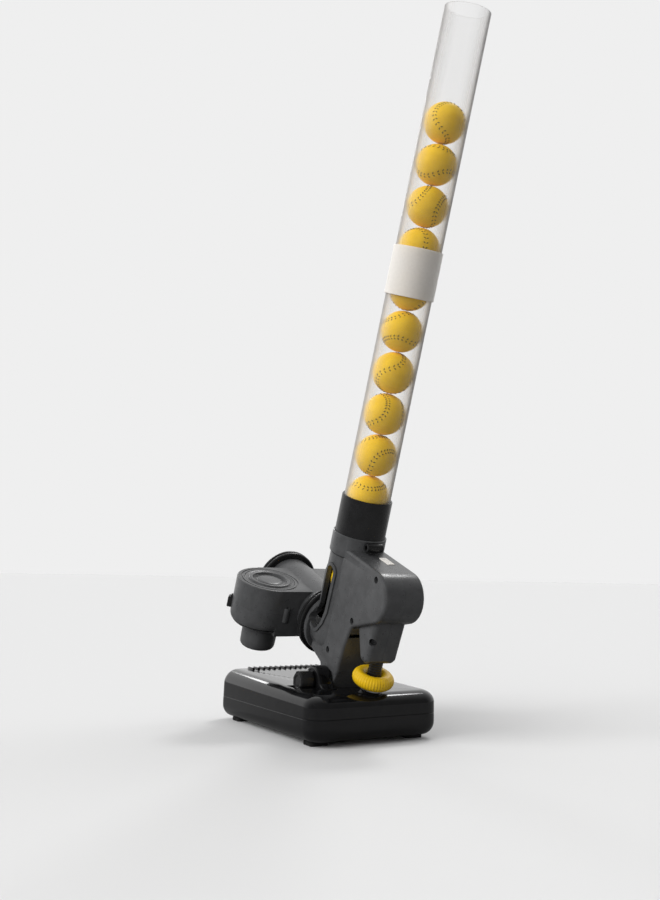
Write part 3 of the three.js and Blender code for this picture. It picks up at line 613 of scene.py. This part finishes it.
# ---- Body: housing, channel and screw lug -------------------------------------------------------

SHELL_SCREWS = [("rear", -101, 84), ("middle", -74, 33), ("neck", -41, -10)]
LUG_SCREW = Matrix.Translation((0, SCREW.y, 26)) @ Matrix.Rotation(math.radians(30), 4, "Z")
CLAMP, CLAMP_R, CLAMP_HALF = (0, -52.4, 98), 4.6, 9
LENS_X, LENS_Y, LENS_HALF_X, LENS_HALF_Y = 6.6, -70, 4, 9


def body_outline(depth=0.0):
    """Side view of the housing and its neck, moved in by depth."""
    p = UNIT_PIVOT
    housing = arc(HOUSING_END, HOUSING_R, 90, 242, 28)
    hinge = arc((p.y, p.z), 11.5, 180, 360, 20)
    outline = [
        (-6, -23), (-6, 20), (CHANNEL_Y, 20), (CHANNEL_Y, HOUSING_TOP), *housing,
        *rounded_run([(-79, 28.6), (-75, 26.5), (-72, 18), (-67.5, 0), (-65.5, -22)]),
        *hinge, (-29, -28),
    ]
    return inset(counter_clockwise(outline), depth)


def rounded_run(points):
    """An open run of points with its inner corners cut twice, so that it looks curved."""
    for _ in range(2):
        made = [points[0]]
        for (u0, v0), (u1, v1) in zip(points, points[1:]):
            made.append((0.75 * u0 + 0.25 * u1, 0.75 * v0 + 0.25 * v1))
            made.append((0.25 * u0 + 0.75 * u1, 0.25 * v0 + 0.75 * v1))
        points = [*made, points[-1]]
    return points


def slot_outline(grow=0.0):
    """The side opening of the channel: straight down, then forwards like the balls."""
    eye = arc((-13, 10), 9, 45, -135, 14)
    top = arc((-23, 63), 6, 180, 0, 12)
    outline = [(-17, 63), (-17, 28), (-13.5, 22.5), (-8, 19), *eye, (-25, 12), (-28, 24), *top]
    return inset(counter_clockwise(outline), -grow)


def channel_solid(radius):
    """The upright channel, its elbow and the start of the barrel, as one solid."""
    upright = rod("z", -2, COLLAR_LOW + 1, radius, CHANNEL, sides=80)
    forward = rod("y", CHANNEL_Y, FLANGE_FACE - 0.02, radius, sides=80)
    return joined(upright, ball(radius, CHANNEL, 80), forward)


def collar():
    """The wider ring at the top of the channel, which holds the cup."""
    inner = BORE_R + 1
    profile = [
        (inner, COLLAR_LOW), (CHANNEL_R, COLLAR_LOW), (COLLAR_R, COLLAR_LOW + 1.8),
        (COLLAR_R, COLLAR_TOP - 0.8), (COLLAR_R - 0.8, COLLAR_TOP), (inner, COLLAR_TOP),
    ]
    return turned("z", profile, CHANNEL, 96)


def flange():
    """The ring behind the turning joint, with fine teeth round its rim."""
    teeth = 120

    def hatch(radius, height, angle):
        return radius + (0.25 * math.cos(teeth * angle) if radius > 30.4 else 0)

    inner, face = CHANNEL_R - 2, FLANGE_FACE
    profile = [(inner, -5), (30, -5), (30.8, -4.3), (30.8, 0), (30.3, face), (inner, face)]
    return turned("y", profile, sides=480, wobble=hatch)


def screw_lug():
    """The tapering block under the housing that holds the threaded rod."""
    front = [(-68, 45, 0), (-78, 28, 4), (-89, 8, 5)]
    foot = [(-93, 3, 3), (-102, 3, 3), (-105.5, 7, 3), (-110, 52, 0)]
    return plate("x", rounded([*front, *foot], 5), -17, 17, 5, 8)


def lug_rod(low, high, radius, sides=24):
    """A round bar through the lug, along its set screw."""
    bar = rod("x", low, high, radius, sides=sides)
    bar.data.transform(LUG_SCREW)
    return bar


def body_solid():
    """Everything solid: the housing with its narrower neck, and the lip round the slot."""
    housing = plate("x", body_outline(), -BODY_HALF, BODY_HALF, 3.2, 6)
    beside_neck = [box(s * 27 - 6.5, s * 27 + 6.5, -70, -20, -60, -25) for s in (-1, 1)]
    lip = common(channel_solid(CHANNEL_R + 1.5), plate("x", slot_outline(3.2), -34, -14))
    neck = cut(housing, *beside_neck)
    return joined(neck, channel_solid(CHANNEL_R), collar(), flange(), screw_lug(), lip)


def body_hollow():
    """The room inside the housing, round the channel and the screw posts."""
    inner = plate("x", body_outline(BODY_WALL), -BODY_HALF + BODY_WALL, BODY_HALF - BODY_WALL)
    channel = rod("z", 32, COLLAR_LOW, CHANNEL_R - 1, CHANNEL)
    across, post_r = (-BODY_HALF, BODY_HALF), 3.8
    hub = rod("x", *across, BOLT_R + 4, (0, UNIT_PIVOT.y, UNIT_PIVOT.z))
    posts = [rod("x", *across, post_r, (0, y, z), sides=24) for _, y, z in SHELL_SCREWS]
    return cut(inner, channel, hub, *posts)


def body_openings():
    """Everything that is cut away: the channel, the rotor's room, the slot and the screw holes."""
    rotor_room, pin_hole, pin_recess, screw_hole, screw_recess = 25, 2.3, 3.4, 1.9, 3.2
    bores = [
        rod("z", 0, COLLAR_LOW + 2, BORE_R, CHANNEL, sides=64),
        rod("z", COLLAR_LOW, COLLAR_TOP + 1, CUP_R + GAP, CHANNEL, sides=80),
        ball(BORE_R, CHANNEL),
        rod("y", CHANNEL_Y, 5, BORE_R, sides=64),
        rod("x", -BODY_HALF + BODY_WALL, 15, rotor_room, (0, ROTOR.y, ROTOR.z)),
        plate("x", slot_outline(), -36, -12),
        rod("x", -24, 24, BOLT_R + GAP, (0, UNIT_PIVOT.y, UNIT_PIVOT.z)),
        rod("z", 0, SCREW_HIGH + 2, SCREW_R + GAP, (0, SCREW.y, 0)),
        lug_rod(-20, 18, pin_hole),
        lug_rod(-22, -13.2, pin_recess, 32),
        rod("x", -CLAMP_HALF - GAP, CLAMP_HALF + GAP, CLAMP_R + GAP, CLAMP, sides=32),
        lens_box(HOUSING_TOP - 4, HOUSING_TOP + 1, GAP),
        box(-40, 40, FLANGE_FACE, 20, -50, 40),
    ]
    for _, y, z in SHELL_SCREWS:
        bores.append(rod("x", -24, 14, screw_hole, (0, y, z), sides=20))
        bores.append(rod("x", -24, -18, screw_recess, (0, y, z), sides=28))
    return bores


def lens_box(low, high, grow=0.0, edge=0.0):
    """The box of the lens in the top of the housing, made larger all round by grow."""
    half_x, half_y = LENS_HALF_X + grow, LENS_HALF_Y + grow
    return box(LENS_X - half_x, LENS_X + half_x, LENS_Y - half_y, LENS_Y + half_y, low, high, edge)


def build_body():
    """The two halves of the housing, the inside of their channel painted black as painted shade, and the parts
    screwed to them.
    """
    whole = cut(body_solid(), body_hollow(), *body_openings())
    twin = copy_of(whole)
    left = common(whole, box(-FAR, -SEAM, -FAR, FAR, -FAR, FAR))
    right = common(twin, box(SEAM, FAR, -FAR, FAR, -FAR, FAR))
    placed(left, UNIT, "housing_left", "body", "body_shell_left", "satin_grey", 0.3)
    placed(right, UNIT, "housing_right", "body", "body_shell_right", "satin_grey", 0.3)
    # painted shade: the faces inside the channel and barrel bore take the black material
    shade_channel_inside(left)
    shade_channel_inside(right)
    build_body_hardware()


def shade_channel_inside(shell):
    """Paints the inside of the ball channel black: painted shade where the bore lies in shadow."""
    shell.data.materials.append(MATERIALS["satin_black"])
    reach = BORE_R + 0.6
    for face in shell.data.polygons:
        middle = UNIT.inverted() @ face.center
        in_tube = middle.z > -5 and math.hypot(middle.x, middle.y - CHANNEL_Y) < reach
        in_barrel = middle.y > CHANNEL_Y - 5 and math.hypot(middle.x, middle.z) < reach
        if in_tube or in_barrel:
            face.material_index = 1


def cross_head(y, z, low, radius):
    """A screw head with a cross recess, facing -X."""
    dome = [(0, low), (radius * 0.6, low), (radius, low + 0.7), (radius, low + 2), (0, low + 2)]
    narrow, wide = 0.35, 1.8
    return cut(
        turned("x", dome, (0, y, z), 32),
        box(low - 1, low + 0.9, y - narrow, y + narrow, z - wide, z + wide),
        box(low - 1, low + 0.9, y - wide, y + wide, z - narrow, z + narrow),
    )


def build_body_hardware():
    for place, y, z in SHELL_SCREWS:
        screw = joined(cross_head(y, z, -20.5, 3), rod("x", -19, 12, 1.6, (0, y, z), sides=16))
        name = "shell_screw_" + place
        placed(screw, UNIT, name + "_head", "body", name, "screw_black", smooth=30)
    pin = joined(cross_head(0, 0, -15.8, 3.1), rod("x", -14.5, 16.5, 2, sides=16))
    pin.data.transform(LUG_SCREW)
    placed(pin, UNIT, "lug_pin", "body", "lug_screw", "screw_black", smooth=30)
    clamp = rod("x", -CLAMP_HALF, CLAMP_HALF, CLAMP_R, CLAMP, 0.8, 40)
    clamp = cut(clamp, rod("x", -CLAMP_HALF - 1, -CLAMP_HALF + 3, 2.6, CLAMP, sides=6))
    placed(clamp, UNIT, "collar_clamp", "body", "collar_screw", "satin_black", smooth=30)
    lens = lens_box(HOUSING_TOP - 3, HOUSING_TOP + 0.8, edge=0.7)
    placed(lens, UNIT, "status_lens", "body", "indicator_lens", "frosted")


# ---- Feed tube and balls ------------------------------------------------------------------------


def pipe(low, high, outer, inner, edge=0.3):
    """A piece of tube round the feed axis, with its rims bevelled by edge."""
    profile = [
        (inner + edge, low), (outer - edge, low), (outer, low + edge), (outer, high - edge),
        (outer - edge, high), (inner + edge, high), (inner, high - edge), (inner, low + edge),
    ]
    return turned("z", profile, CHANNEL, 96)


def span(node):
    """The lowest and highest place of a node along the feed tube."""
    turned_back = UNIT.inverted()
    heights = [(turned_back @ v.co).z for v in frame["nodes"][node].data.vertices]
    return min(heights), max(heights)


def build_feed_tube():
    """The cup in the collar, the two clear tubes above it and the sleeve that couples them."""
    cup_low, cup_high = span("tube_cup")
    ledge = span("lower_tube")[0] - GAP
    mouth = TUBE_R + GAP
    profile = [
        (BORE_R, cup_low), (CUP_R - 0.4, cup_low), (CUP_R, cup_low + 0.4), (CUP_R, cup_high - 0.9),
        (CUP_R - 0.5, cup_high), (mouth + 0.1, cup_high), (mouth, cup_high - 0.6),
        (mouth, ledge), (BORE_R, ledge),
    ]
    cup = turned("z", profile, CHANNEL, 96)
    placed(cup, UNIT, "cup_sleeve", "body", "tube_cup", "satin_black")
    for node in ("lower_tube", "upper_tube"):
        tube = pipe(*span(node), TUBE_R, BORE_R)
        placed(tube, UNIT, node + "_wall", "body", node, "clear_tube")
    sleeve = pipe(*span("tube_coupling"), COUPLING_R, mouth, 0.5)
    placed(sleeve, UNIT, "coupling_sleeve", "body", "tube_coupling", "frosted")


def seam_point(t):
    """A point of a baseball's seam on a sphere of radius one, for t from 0 to 4 pi."""
    swing = 0.44
    tip = math.pi / 2 - (math.pi / 2 - swing) * math.cos(t)
    turn = t / 2 + swing * math.sin(2 * t)
    return Vector((math.sin(tip) * math.cos(turn), math.sin(tip) * math.sin(turn), math.cos(tip)))


BALL_SEAM = [seam_point(4 * math.pi * k / 480) for k in range(480)]


def stitch(middle, along, radius, side):
    """One slanted stitch beside the seam: the four sunk corners of a lozenge, then its peak."""
    across = middle.cross(along).normalized() * side
    reach = (across * 0.8 + along * 0.6).normalized()
    width = middle.cross(reach).normalized() * 0.75
    start = middle * radius + across * 0.3
    waist, tip = start + reach * 1.6, start + reach * 3.4
    sunk = middle * 0.25
    corners = [start - sunk, waist + width - sunk, tip - sunk * 2, waist - width - sunk]
    return [*corners, waist + middle * 0.5]


def ball_mesh(radius):
    """A ball with a seam pressed into its skin and two rows of stitches."""
    stitches, groove, groove_width = 60, 0.35, 0.9
    shape = bmesh.new()
    bmesh.ops.create_uvsphere(shape, u_segments=128, v_segments=64, radius=radius)
    for vert in shape.verts:
        out = vert.co.normalized()
        near = min((out - p).length_squared for p in BALL_SEAM) ** 0.5 * radius
        vert.co -= out * groove * math.exp(-((near / groove_width) ** 2))
    for k in range(stitches):
        t = 4 * math.pi * (k + 0.5) / stitches
        middle = seam_point(t)
        along = (seam_point(t + 0.01) - seam_point(t - 0.01)).normalized()
        for side in (-1, 1):
            *corners, top = [shape.verts.new(p) for p in stitch(middle, along, radius, side)]
            for a, b in zip(corners, corners[1:] + corners[:1]):
                shape.faces.new((a, b, top)).material_index = 1
            shape.faces.new(corners[::-1]).material_index = 1
    for face in shape.faces:
        face.smooth = face.material_index == 0
    mesh = bpy.data.meshes.new("training_ball")
    shape.to_mesh(mesh)
    shape.free()
    mesh.transform(Matrix.Scale(MM, 4))
    for material in ("ball_yellow", "stitch"):
        mesh.materials.append(MATERIALS[material])
    return mesh


def build_balls():
    """The column of equal balls, each one turned its own way."""
    low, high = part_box("ball_1")
    stitch_height = 0.2
    mesh = ball_mesh((high.x - low.x) / 2 / MM - stitch_height)
    for k in range(BALLS):
        node = f"ball_{k + 1}"
        low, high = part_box(node)
        piece = bpy.data.objects.new(f"training_ball_{k + 1}", mesh)
        bpy.context.scene.collection.objects.link(piece)
        spin = Euler((0.7 + 1.9 * k, 0.4 + 2.3 * k, 1.1 + 1.3 * k))
        piece.matrix_world = Matrix.Translation((low + high) / 2) @ spin.to_matrix().to_4x4()
        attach(piece, "ball_column")
        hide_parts(node)


# ---- Elevation screw ----------------------------------------------------------------------------


def build_threaded_rod():
    """The lifting screw, with its thread running round it in one spiral."""
    low, high, neck = SCREW_LOW, SCREW_HIGH, 5.5
    pitch, depth, steps = 2.4, 0.4, 216

    def thread(radius, height, angle):
        phase = (height / pitch - angle / (2 * math.pi)) % 1
        return radius - depth * abs(2 * phase - 1)

    flank = [(SCREW_R, low + 0.4 + (high - low - 0.8) * k / steps) for k in range(steps + 1)]
    profile = [(0, low), (neck, low), *flank, (neck, high), (0, high)]
    screw = turned("z", profile, (0, SCREW.y, 0), 48, thread)
    placed(screw, UNIT, "lifting_screw", "body", "threaded_rod", "satin_black", smooth=60)


def build_height_wheel():
    """The hand nut: a round, knurled rim and a hole that clears the screw."""
    knurls, depth = 44, 0.22

    def knurl(radius, height, angle):
        """Crossed grooves that fade out towards the middle of the wheel."""
        fade = min(1, max(0, (radius - 11) / 6))
        return radius - depth * fade * (2 + math.cos(knurls * angle) + math.cos(2.6 * height))

    half, reach, middle, bore = 6.5, 6.7, 13.7, 7.2
    angles = [math.radians(-90 + 10 * k) for k in range(19)]
    rim = [(middle + reach * math.cos(a), half * math.sin(a)) for a in angles]
    top = [(9.6, half - 1), (7.8, half - 3), (bore, half - 4)]
    wheel = turned("z", [(bore, -half + 1.5), (8.4, -half), *rim, *top], SCREW, 264, knurl)
    placed(wheel, UNIT, "height_knob", "wheel", "height_wheel", "wheel_yellow", smooth=60)


def build_washer():
    low, high = span("seat_washer")
    bore, outer, bevel = 7.1, 12, 0.4
    profile = [
        (bore, low), (outer - bevel, low), (outer, low + bevel),
        (outer, high - bevel), (outer - bevel, high), (bore, high),
    ]
    washer = turned("z", profile, (0, SCREW.y, 0), 64)
    placed(washer, UNIT, "screw_washer", "washer", "seat_washer", "steel")


def build_seat():
    """The dome on the deck that the washer presses on, with a wide hole for the screw."""
    seat = seat_centre()
    dome = ball(SEAT_R, seat, 72)
    hole = rod("z", -2, 24, 9.5, (0, SCREW.y, SEAT_HEIGHT))
    hole.data.transform(BASE.inverted() @ UNIT)
    keep = box(-40, 40, seat.y - 20, seat.y + 20, seat.z - 9, 100)
    bored = cut(common(dome, keep), hole)
    placed(bored, BASE, "seat_dome", "base", "rod_seat", "gloss_black", 0.5)


# ---- Head: drums, barrel, rings and covers ------------------------------------------------------


def drum_centre(side):
    return (side * DRUM.x, DRUM.y, 0)


def drum(side):
    """The drum round one spinning wheel: a crisp upper rim and a generous rounding below."""
    soft, crisp = 11, 1.2
    lower = arc((DRUM_R - soft, soft - DRUM_HALF), soft, -90, 0, 10)
    upper = arc((DRUM_R - crisp, DRUM_HALF - crisp), crisp, 0, 90, 4)
    profile = [(0, -DRUM_HALF), *lower, *upper, (0, DRUM_HALF)]
    return turned("z", profile, drum_centre(side), 96)


def head_solid():
    """Both drums, the block between them and the barrel that runs through it."""
    bridge = box(-DRUM.x, DRUM.x, DRUM.y - DRUM_R, DRUM.y + DRUM_R, -DRUM_HALF, DRUM_HALF)
    barrel = rod("y", BARREL_START, BARREL_END, BARREL_R, sides=80)
    bosses = [rear_boss(side) for side in (-1, 1)]
    return joined(bridge, drum(-1), drum(1), barrel, *bosses)


def rear_boss(side):
    """The upright screw boss on the rear wall, beside a drum."""
    at = (side * BOSS_X, DRUM.y - DRUM_R + 1.9, 0)
    return rod("z", -9, 6, 4, at, 0.8, 32)


def head_hollow():
    """Everything that is cut away: the barrel's bore, the wheels' rooms and the screw holes."""
    room, wheel_room = DRUM_HALF - 3.6, DRUM_R - 1.8
    motor_hole, wheel_hole, lid_seat, screw_hole = 14, 24, 27.3, 1.4
    tools = [rod("y", 0, FAR, BARREL_BORE, sides=72)]
    for side in (-1, 1):
        at = drum_centre(side)
        tools.append(rod("z", -room, room, wheel_room, at))
        tools.append(rod("z", -40, 0, motor_hole, at))
        tools.append(rod("z", 0, 40, wheel_hole, at))
        tools.append(rod("z", DRUM_HALF - 2, 40, lid_seat, at, sides=96))
        tools.append(turned("z", rim_groove(), at, 96))
        boss = (side * BOSS_X, DRUM.y - DRUM_R - 0.4, 0)
        tools.append(rod("z", 4, 8, screw_hole, boss, sides=20))
    return tools


def rim_groove():
    """The shallow groove in the top of a drum, round its lid."""
    low, high = DRUM_HALF - 0.7, DRUM_HALF + 1
    return [(29.6, low), (31.2, low), (31.2, high), (29.6, high)]


def cap_profile():
    """The stepped disc on top of a drum, from its middle outwards, with a flat underside."""
    steps = [
        (0, 0.1), (10, -0.1), (13.4, -0.5), (14, -1.0), (15.4, -1.5), (17.4, -1.5), (18, -0.9),
        (18.6, 0.5), (19.4, 0.9), (21.8, 0.9), (22.6, 0.4), (23.2, -0.5), (24.4, -0.5),
        (25, -0.1), (26.6, -0.1), (27, -0.4), (27, -1.7), (24, -1.7), (0, -1.7),
    ]
    return [(radius, DRUM_HALF + height) for radius, height in steps]


def cover_profile():
    """The cup that closes in the motor under a drum, open at its top."""
    low, high = -48, -DRUM_HALF - GAP
    return [
        (0, low), (14.5, low), (17, low + 0.7), (18.2, low + 2.2), (18.6, low + 5), (19, high),
        (17, high), (16.6, low + 3), (0, low + 3),
    ]


def ridged_ring(start, end):
    """A ring round the barrel, with two soft ridges side by side and a groove between them."""
    ridge = 1.6
    foot, quarter = RING_R - ridge, (end - start) / 4
    angles = [math.pi * k / 10 for k in range(11)]
    first, second = (
        [(foot + ridge * math.sin(a), centre - (quarter - 0.25) * math.cos(a)) for a in angles]
        for centre in (start + quarter, end - quarter)
    )
    groove = (foot - 0.7, (start + end) / 2)
    outside = [(foot, start), *first, groove, *second, (foot, end)]
    return turned("y", [(BARREL_BORE, start), *outside, (BARREL_BORE, end)], sides=96)


def build_head():
    """The two halves of the head, the rings at both ends of the barrel and the drums' parts."""
    whole = cut(head_solid(), *head_hollow())
    twin = copy_of(whole)
    upper = common(whole, box(-FAR, FAR, -FAR, FAR, SEAM, FAR))
    lower = common(twin, box(-FAR, FAR, -FAR, FAR, -FAR, -SEAM))
    placed(upper, UNIT, "head_upper", "head", "head_shell_upper", "satin_grey", 0.2)
    placed(lower, UNIT, "head_lower", "head", "head_shell_lower", "satin_grey", 0.2)
    rotation = ridged_ring(FLANGE_FACE + GAP, BARREL_START - GAP)
    placed(rotation, UNIT, "turning_ring", "head", "rotation_ring", "satin_black")
    muzzle = ridged_ring(BARREL_END + GAP, BARREL_END + 11)
    placed(muzzle, UNIT, "muzzle_bead", "head", "muzzle_ring", "satin_black")
    for name, side in (("left", -1), ("right", 1)):
        build_drum_parts(name, side)


def build_drum_parts(name, side):
    """The lid, the motor cover and the dark clip on the rim of one drum."""
    at = drum_centre(side)
    cap = turned("z", cap_profile(), at, 120)
    placed(cap, UNIT, "drum_lid_" + name, "head", "drum_cap_" + name, "satin_grey", smooth=35)
    cover = turned("z", cover_profile(), at, 80)
    placed(cover, UNIT, "motor_can_" + name, "head", "motor_cover_" + name, "satin_grey", smooth=35)
    tab = joined(box(-4.5, 4.5, 30, 39.6, -12, -1, 1.2), box(-3, 3, 28, 37, -1.5, 0.6, 0.6))
    tab = cut(tab, rod("z", -4, 2, 1.6, (0, 36, 0), sides=20))
    turn = Matrix.Translation(at) @ Matrix.Rotation(-side * math.radians(62), 4, "Z")
    tab.data.transform(turn)
    placed(tab, UNIT, "shell_tab_" + name, "head", None, "satin_black", 0.3)


# ---- Stage --------------------------------------------------------------------------------------


AHEAD = Vector((0.35, 0.9, 0.1)).normalized()  # where the room is bright
FLOOR_SEEN, FLOOR_LIT, BACKDROP = 0.755, 0.25, 0.863


def build_stage():
    """A plain pale floor, an even pale surround, and soft studio light."""
    bpy.ops.mesh.primitive_plane_add(size=400)
    floor = bpy.context.object
    floor.name = "floor"
    n = Nodes("floor")
    n.shader.inputs["Roughness"].default_value = 0.95
    n.shader.inputs["Specular IOR Level"].default_value = 0
    shade = n.mix(seen(n.tree), [FLOOR_LIT] * 3, [FLOOR_SEEN] * 3)
    n.link(shade, n.shader.inputs["Base Color"])
    floor.data.materials.append(n.material)
    build_surround()
    add_light("key", (-0.9, 0.05, 0.5), 40, 1.85, False)
    add_light("fill", (-0.8, -0.5, 0.3), 50, 1.25, False)
    add_light("side", (0.95, 0.1, 0.25), 40, 0.6, False)
    add_light("back", (0.12, 0.86, 0.5), 10, 0.15, True)
    add_light("top", (0.47, 0.3, 0.83), 14, 0.6, True)


def build_surround():
    """The camera sees an even pale grey. Light and reflections see a room that is bright ahead."""
    world = bpy.data.worlds.new("surround")
    bpy.context.scene.world = world
    world.use_nodes = True
    tree = world.node_tree
    room = tree.nodes["Background"]
    room.inputs["Color"].default_value = (1, 1, 1, 1)
    backdrop = tree.nodes.new("ShaderNodeBackground")
    backdrop.inputs["Color"].default_value = (BACKDROP, BACKDROP, BACKDROP, 1)
    direction = tree.nodes.new("ShaderNodeTexCoord")
    towards = tree.nodes.new("ShaderNodeVectorMath")
    towards.operation = "DOT_PRODUCT"
    towards.inputs[1].default_value = AHEAD
    tree.links.new(direction.outputs["Generated"], towards.inputs[0])
    brightness = ramp(tree, towards.outputs["Value"], 0.17, 0.86, -0.3, 0.7)
    tree.links.new(brightness, room.inputs["Strength"])
    blend = tree.nodes.new("ShaderNodeMixShader")
    tree.links.new(seen(tree), blend.inputs["Fac"])
    tree.links.new(room.outputs["Background"], blend.inputs[1])
    tree.links.new(backdrop.outputs["Background"], blend.inputs[2])
    tree.links.new(blend.outputs["Shader"], tree.nodes["World Output"].inputs["Surface"])


def add_light(name, towards, spread, strength, mirrored):
    """A far lamp, spread degrees wide, that lights the whole floor evenly. Gloss may mirror it."""
    lamp = bpy.data.lights.new(name, "SUN")
    lamp.angle, lamp.energy = math.radians(spread), strength
    light = bpy.data.objects.new(name, lamp)
    bpy.context.scene.collection.objects.link(light)
    light.rotation_euler = Vector(towards).to_track_quat("Z", "Y").to_euler()
    light.visible_glossy = mirrored
    light.visible_transmission = False


def build_camera():
    """A camera close to the floor, behind and to the left of the machine, that looks up."""
    azimuth, elevation, roll = (math.radians(a) for a in (-31.71, -15.95, 1.0))
    back = Vector((
        math.sin(azimuth) * math.cos(elevation),
        -math.cos(azimuth) * math.cos(elevation),
        math.sin(elevation),
    ))
    right = Vector((math.cos(azimuth), math.sin(azimuth), 0))
    up = back.cross(right)
    level = right * math.cos(roll) + up * math.sin(roll)
    upright = up * math.cos(roll) - right * math.sin(roll)
    turn = Matrix((level, upright, back)).transposed().to_4x4()
    lens = bpy.data.cameras.new("camera")
    lens.lens, lens.sensor_width = 36, 36
    lens.shift_x, lens.shift_y = -0.0556, -0.1427
    camera = bpy.data.objects.new("camera", lens)
    bpy.context.scene.collection.objects.link(camera)
    place = Matrix.Translation((-480.62, -875.64, 147.42))
    camera.matrix_world = BASE @ place @ Matrix.Scale(1 / MM, 4) @ turn
    bpy.context.scene.camera = camera


finish_frame()
build_base()
build_door()
build_hinge()
build_body()
build_feed_tube()
build_balls()
build_threaded_rod()
build_height_wheel()
build_washer()
build_seat()
build_head()
build_stage()
build_camera()
bpy.context.scene.view_settings.view_transform = "Standard"
